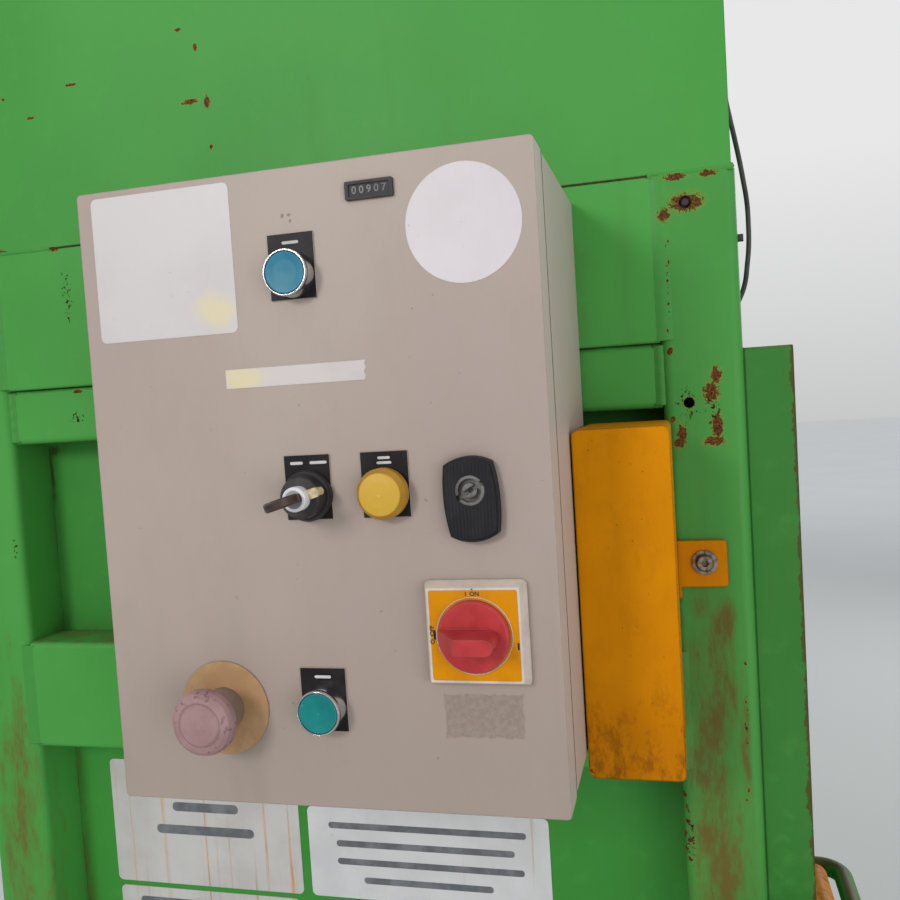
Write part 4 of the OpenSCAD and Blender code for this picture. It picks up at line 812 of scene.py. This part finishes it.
LABEL = label_material("label_white", lin(203, 196, 196), lin(195, 188, 188),
                       spots=[(FACE, *panel(93, 318), 0.02, 0.016, 0.012)])
ROUND = label_material("label_round", lin(211, 203, 206), lin(203, 195, 198))
TAPE = label_material("label_tape", lin(203, 194, 192), lin(194, 184, 180),
                      spots=[(FACE, *panel(108, 274), 0.02, 0.016, 0.010)])
TORN_TAPE = [(-0.047, -0.006), (0.0455, -0.006), (0.0462, -0.0035), (0.0452, -0.001),
             (0.0466, 0.0015), (0.0458, 0.004), (0.0468, 0.006), (-0.047, 0.006)]
for name, place, points, material in (
        ("square_label", panel(59, 349.5), rounded(0.098, 0.093, 0.004), LABEL),
        ("round_label", panel(256, 355), disc(0.070, 72), ROUND),
        ("tape_label", panel(144, 274), TORN_TAPE, TAPE)):
    plate(name, FACE - LIFT, place, points, STICKER_THICK, material, "control_door")

# Sign plates on the skin, from left to right and low to high in the enclosure's millimetres

SIGN = label_material("sign_plate", lin(210, 209, 210), lin(198, 197, 198), 0.6, lo=0.62)
SIGN_STAINED = label_material("sign_plate_stained", lin(196, 193, 191), lin(184, 180, 176), 0.8,
                              lo=0.55)
for name, x0, x1, z0, z1, material in (
        ("sign_left", -190, 9, -203, -80, SIGN_STAINED),
        ("sign_right", 18, 245, -203, -117, SIGN),
        ("sign_low", -188, 4, -300, -208, SIGN_STAINED)):
    plate(name, SKIN - LIFT, panel((x0 + x1) / 2, (z0 + z1) / 2),
          rounded((x1 - x0) / 1000, (z1 - z0) / 1000, 0.005),
          SIGN_THICK, material, "machine")

# Print as plain bars

PRINT = plastic("print_grey", lin(96, 98, 102), lin(118, 120, 124), rough=0.6, bump=0.02)
PALE = plastic("print_pale", lin(206, 202, 198), lin(190, 186, 182), rough=0.6, bump=0.02)
DARK = plastic("print_dark", lin(26, 24, 24), lin(38, 36, 36), rough=0.6, bump=0.02)
YELLOW = plastic("isolator_yellow", lin(214, 140, 2), lin(204, 130, 2), rough=0.44,
                 corner_shade_and_grime_tone=lin(128, 78, 20), spec=0.1)
DIM = plastic("print_dim", lin(140, 138, 138), lin(120, 118, 118), rough=0.6, bump=0.02, spec=0.1)
bars("sign_left_bars", SIGN_FACE, [(0, -22, 92, 9), (2, -45, 70, 9), (0, -68, 104, 9)],
     (-90.5, -80), "machine", PRINT)
bars("sign_right_bars", SIGN_FACE,
     [(0, -10, 186, 6), (-2, -27, 168, 6), (2, -44, 176, 6), (0, -61, 122, 6)],
     (131.5, -124), "machine", PRINT)
bars("sign_low_bars", SIGN_FACE,
     [(0, -14, 150, 8), (0, -32, 120, 8), (0, -50, 138, 8), (0, -68, 90, 8)],
     (-92, -208), "machine", PRINT)
bars("legend_bars", LEGEND_FACE, [
    (147.5, 354.5, 11, 1.9), (148.5, 84.5, 11, 1.9), (141.2, 219.2, 8.6, 1.9),
    (155.6, 219.2, 11.4, 1.9), (198.3, 220.2, 8, 1.7), (198.3, 217.2, 9.4, 1.7)],
    (0, 0), "control_door", PALE)

# Isolator's face: the yellow field with its ring, and the black marks and words beside the knob

MARK_FACE, WORD_FACE, WORD_SIZE = FIELD - 0.0002, FIELD - 0.00022, 0.0036
YELLOW_SINK, YELLOW_THICK = 0.0001, 0.0003
TRIM_RADII, TRIM_THICK = (0.0226, 0.0232), 0.0002
ON_ABOVE, OFF_BESIDE, OFF_ABOVE = 0.0248, 0.0256, 0.0005
middle = panel(*ISOLATOR)
plate("isolator_yellow_field", FIELD + YELLOW_SINK, middle, rounded(0.0535, 0.054, 0.0012, 4),
      YELLOW_THICK, YELLOW, "control_door")
bars("isolator_marks", MARK_FACE,
     [(-24.2, 0.3, 1.5, 5.6), (26.0, -6.2, 1.1, 4.2), (0, 27.6, 0.9, 0.9)],
     ISOLATOR, "control_door", DARK)
ring("isolator_trim_ring", MARK_FACE, middle, *TRIM_RADII, TRIM_THICK, PALE, "control_door",
     "cream_plastic")
words("isolator_on", "I  ON", WORD_SIZE, WORD_FACE, (middle[0], middle[1] + ON_ABOVE), DARK,
      "control_door")
words("isolator_off", "O  OFF", WORD_SIZE, WORD_FACE,
      (middle[0] + OFF_BESIDE, middle[1] + OFF_ABOVE), DARK, "control_door",
      turn=90)

# Counter's digits

DIGIT_SIZE, DIGIT_PITCH = 0.0062, 0.0047
y, z = panel(*COUNTER)
for i, digit in enumerate("00907"):
    words("counter_digit_%d" % (i + 1), digit, DIGIT_SIZE, COUNTER_FACE,
          (y + (2 - i) * DIGIT_PITCH, z), DIM, "control_door")

# Weld beads over the joints, rust in the open seam and the stub of an old screw

BEAD_PITCH, BEAD_WAVE, BEAD_STEPS, BEAD_SINK = 0.0026, 0.10, 10, 0.0002


def sweep(bm, a, b, wide, proud, normal):
    """A painted weld bead from a to b that runs out flat on both sides."""
    a, b, normal = Vector(a), Vector(b), Vector(normal)
    across = (b - a).normalized().cross(normal)
    count = max(4, int((b - a).length / BEAD_PITCH * 4))
    rows = []
    for i in range(count + 1):
        p = a + (b - a) * i / count
        ripple = 0.5 + 0.5 * math.cos(2 * math.pi * i / 4)
        swell = 1 - BEAD_WAVE * ripple + 0.08 * math.sin(i * 0.37)
        row = []
        for j in range(BEAD_STEPS + 1):
            t = 2 * j / BEAD_STEPS - 1
            rise = (proud + BEAD_SINK) * swell * math.cos(math.pi * t / 2) ** 2 - BEAD_SINK
            row.append(bm.verts.new(p + across * wide * t + normal * rise))
        row.append(bm.verts.new(p + across * wide - normal * 4 * BEAD_SINK))
        row.append(bm.verts.new(p - across * wide - normal * 4 * BEAD_SINK))
        rows.append(row)
    for low, high in zip(rows, rows[1:]):
        for j in range(len(low)):
            k = (j + 1) % len(low)
            bm.faces.new((low[j], low[k], high[k], high[j]))
    bm.faces.new(list(reversed(rows[0])))
    bm.faces.new(rows[-1])


# Half width and height of the beads, and the heights between which they run
POST_BEAD, SLIM_BEAD = (0.0084, 0.0009), (0.0062, 0.0020)
SEAM_BEAD, CORNER_BEAD = (0.0026, 0.0005), (0.0030, 0.0022)
RAIL_HEIGHTS = [(0.083 + 0.350 * i, 0.177 + 0.350 * i) for i in range(4)]
HEADER_HEIGHTS, SLIM_HEIGHTS, SLIM_JOINT = (1.467, 1.591), (1.418, 1.464), 0.2945
SEAM_RUNS = ((-0.3535, -0.291), (0.236, 0.3535))
CORNER_X, CORNER_Y, CORNER_Z = (0.549, 0.470), -0.3522, 1.5922
beads = bmesh.new()
for side in (-1, 1):
    out = (side, 0, 0)
    wall, slim = -side * WALL, -side * SLIM_RAIL
    for end in (-1, 1):
        y = end * POST_JOINT
        for low, high in [HEADER_HEIGHTS] + RAIL_HEIGHTS:
            sweep(beads, (wall, y, low), (wall, y, high), *POST_BEAD, out)
        y = end * SLIM_JOINT
        sweep(beads, (slim, y, SLIM_HEIGHTS[0]), (slim, y, SLIM_HEIGHTS[1]), *SLIM_BEAD, out)
    for y0, y1 in SEAM_RUNS:
        sweep(beads, (wall, y0, SEAM), (wall, y1, SEAM), *SEAM_BEAD, out)
    a, b = ((side * x, CORNER_Y, CORNER_Z) for x in CORNER_X)
    sweep(beads, a, b, *CORNER_BEAD, (0, -1, 0))
bmesh.ops.recalc_face_normals(beads, faces=beads.faces)
mesh = finished(beads, "weld_beads")
for face in mesh.polygons:
    face.use_smooth = True
link("weld_beads", mesh, GREEN_POST, "machine")

SEAM_RUST = plastic("seam_rust", RUST, RUST_DARK, rough=0.8, grain=500, bump=0.3)
STUB = metal("old_screw", lin(70, 66, 70), lin(48, 45, 47), rough=0.5, bevel=0.0008)
hole = panel(*OLD_SCREW)
SEAM_RUST_IN, STUB_ROOT_IN, STUB_IN = 0.0030, 0.0045, 0.0031
plate("seam_rust_line", WALL + SEAM_RUST_IN, (-0.0275, SEAM),
      rounded(0.526, 0.00098, 0.0002, 2), 0.0025, SEAM_RUST, "machine")
plate("screw_stub_root", WALL + STUB_ROOT_IN, hole, disc(0.0091, 32), 0.0015, SEAM_RUST,
      "machine")
plate("screw_stub", WALL + STUB_IN, hole, disc(0.0054, 32), 0.0034, STUB, "machine")

# Painted strip that closes the line between the front post and the doors

STRIP_MIDDLE, STRIP_SIZE = (-0.5305, -0.35540, 0.8235), (0.021, 0.0008, 1.269)
strip = bmesh.new()
bmesh.ops.create_cube(strip, size=1.0,
                      matrix=Matrix.Translation(STRIP_MIDDLE) @ Matrix.Diagonal((*STRIP_SIZE, 1)))
link("door_gap_strip", finished(strip, "door_gap_strip"), GREEN_DOOR, "machine")

# Slack cable, smooth, along the same route as the frame's: Y and Z in millimetres

CABLE_X, CABLE_RADIUS = -0.440, 0.0021
ROUTE = [(-341, 1850), (-356, 1850), (-371, 1850), (-380, 1849), (-388, 1845), (-393, 1838),
         (-394, 1829), (-391, 1818), (-385, 1806), (-377, 1795), (-368, 1784), (-361, 1772),
         (-357, 1758), (-355.5, 1742), (-355.5, 1726), (-355.5, 1710), (-355.5, 1692), (-357, 1673),
         (-360, 1655), (-363, 1638), (-366, 1620), (-368.5, 1602), (-370.5, 1585), (-371, 1566),
         (-370.5, 1548), (-368.5, 1531), (-366, 1516), (-361, 1503), (-355, 1493), (-348, 1486),
         (-341, 1479)]
curve = bpy.data.curves.new("slack_cable", "CURVE")
curve.dimensions = "3D"
spline = curve.splines.new("BEZIER")
spline.bezier_points.add(len(ROUTE) - 1)
for point, (y, z) in zip(spline.bezier_points, ROUTE):
    point.co = (CABLE_X, y / 1000, z / 1000)
    point.handle_left_type = point.handle_right_type = "AUTO"
curve.resolution_u = 6
curve.bevel_depth = CABLE_RADIUS
curve.bevel_resolution = 6
curve.use_fill_caps = True
cable = bpy.data.objects.new("slack_cable", curve)
scene.collection.objects.link(cable)
cable.data.materials.append(CABLE)
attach(cable, "machine")
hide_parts("sensor_cable")

# Surroundings


def floor_paint(near, far):
    """A pale floor painted darker near the machine and lighter towards the horizon: painted shade
    and painted light.
    """
    m = Mat("floor_pale")
    reach = m.step(m.vec("LENGTH", m.coord), 1.5, 11.0)
    base = m.mix(reach, near, far)
    base = m.cover(base, m.step(m.noise(1.5, 3, 0.5), 0.3, 0.7), 0.04, (0.4, 0.4, 0.4, 1))
    return m.set(color=base, rough=0.8, spec=0.1)


bpy.ops.mesh.primitive_plane_add(size=60, location=(0, 0, 0))
floor = bpy.context.object
floor.name = "floor"
floor.data.materials.append(floor_paint(near=(0.50, 0.51, 0.50, 1), far=(0.90, 0.91, 0.90, 1)))


def studio_world(tone, strength, low, high, greys):
    """Soft light all round; the camera and reflections see greys over z from low to high."""
    world = bpy.data.worlds.new("studio")
    world.use_nodes = True
    tree = world.node_tree
    tree.nodes.clear()

    def node(kind, *inputs):
        """A node whose first inputs are joined to sockets or set."""
        n = tree.nodes.new("ShaderNode" + kind)
        for socket, value in zip(n.inputs, inputs):
            if isinstance(value, bpy.types.NodeSocket):
                tree.links.new(value, socket)
            else:
                socket.default_value = value
        return n

    def most(a, b):
        n = node("Math", a, b)
        n.operation = "MAXIMUM"
        return n.outputs[0]

    height = node("SeparateXYZ", node("TexCoord").outputs["Generated"]).outputs[2]
    ramp = node("ValToRGB", node("MapRange", height, low, high).outputs["Result"])
    ramp.color_ramp.elements[0].color = greys[0]
    ramp.color_ramp.elements[1].color = greys[2]
    ramp.color_ramp.elements.new(0.5).color = greys[1]
    path = node("LightPath").outputs
    seen = most(most(path["Is Camera Ray"], path["Is Glossy Ray"]), path["Is Transmission Ray"])
    light, backdrop = node("Background", tone, strength), node("Background", ramp.outputs[0], 1.0)
    node("OutputWorld", node("MixShader", seen, light.outputs[0], backdrop.outputs[0]).outputs[0])
    return world


scene.world = studio_world(tone=(0.93, 0.96, 1.0, 1), strength=0.62, low=-0.43, high=0.23,
                           greys=(lin(156, 159, 154), lin(192, 194, 193), lin(232, 232, 232)))

# Area lights: name, place, target, side length, power and colour

for name, place, target, size, power, tone in (
        ("key", (-3.5, 1.0, 2.45), (-0.55, -0.1, 1.4), 0.7, 34, (1.0, 0.98, 0.95)),
        ("fill", (-3.2, -2.6, 1.2), (-0.5, 0.0, 1.2), 2.2, 36, (0.95, 0.98, 1.0)),
        ("right", (3.4, -2.4, 3.0), (0.2, 0, 1.2), 2.2, 55, (1.0, 0.99, 0.97)),
        ("back", (1.2, 3.6, 3.2), (0, 0.2, 1.3), 2.2, 50, (0.97, 0.99, 1.0))):
    light = bpy.data.lights.new(name, "AREA")
    light.shape = "RECTANGLE"
    light.size = light.size_y = size
    light.energy = power
    light.color = tone
    lamp = bpy.data.objects.new(name, light)
    lamp.location = place
    lamp.rotation_euler = (Vector(target) - Vector(place)).to_track_quat("-Z", "Y").to_euler()
    scene.collection.objects.link(lamp)

# Camera at the photograph's place, fitted to the enclosure's face and controls
PLACE = (-1.25513, -0.30682, 1.43215)
RIGHT, UP = (0.24638, -0.96712, -0.06309), (0.06907, -0.04741, 0.99648)
BACK = (-0.96671, -0.24988, 0.05512)
camera = bpy.data.cameras.new("camera")
camera.sensor_fit = "HORIZONTAL"
camera.sensor_width = 36
camera.lens = 35.864
camera.clip_start = 0.02
cam = bpy.data.objects.new("camera", camera)
cam.matrix_world = Matrix((*zip(RIGHT, UP, BACK, PLACE), (0, 0, 0, 1)))
scene.collection.objects.link(cam)
scene.camera = cam
scene.view_settings.view_transform = "Standard"
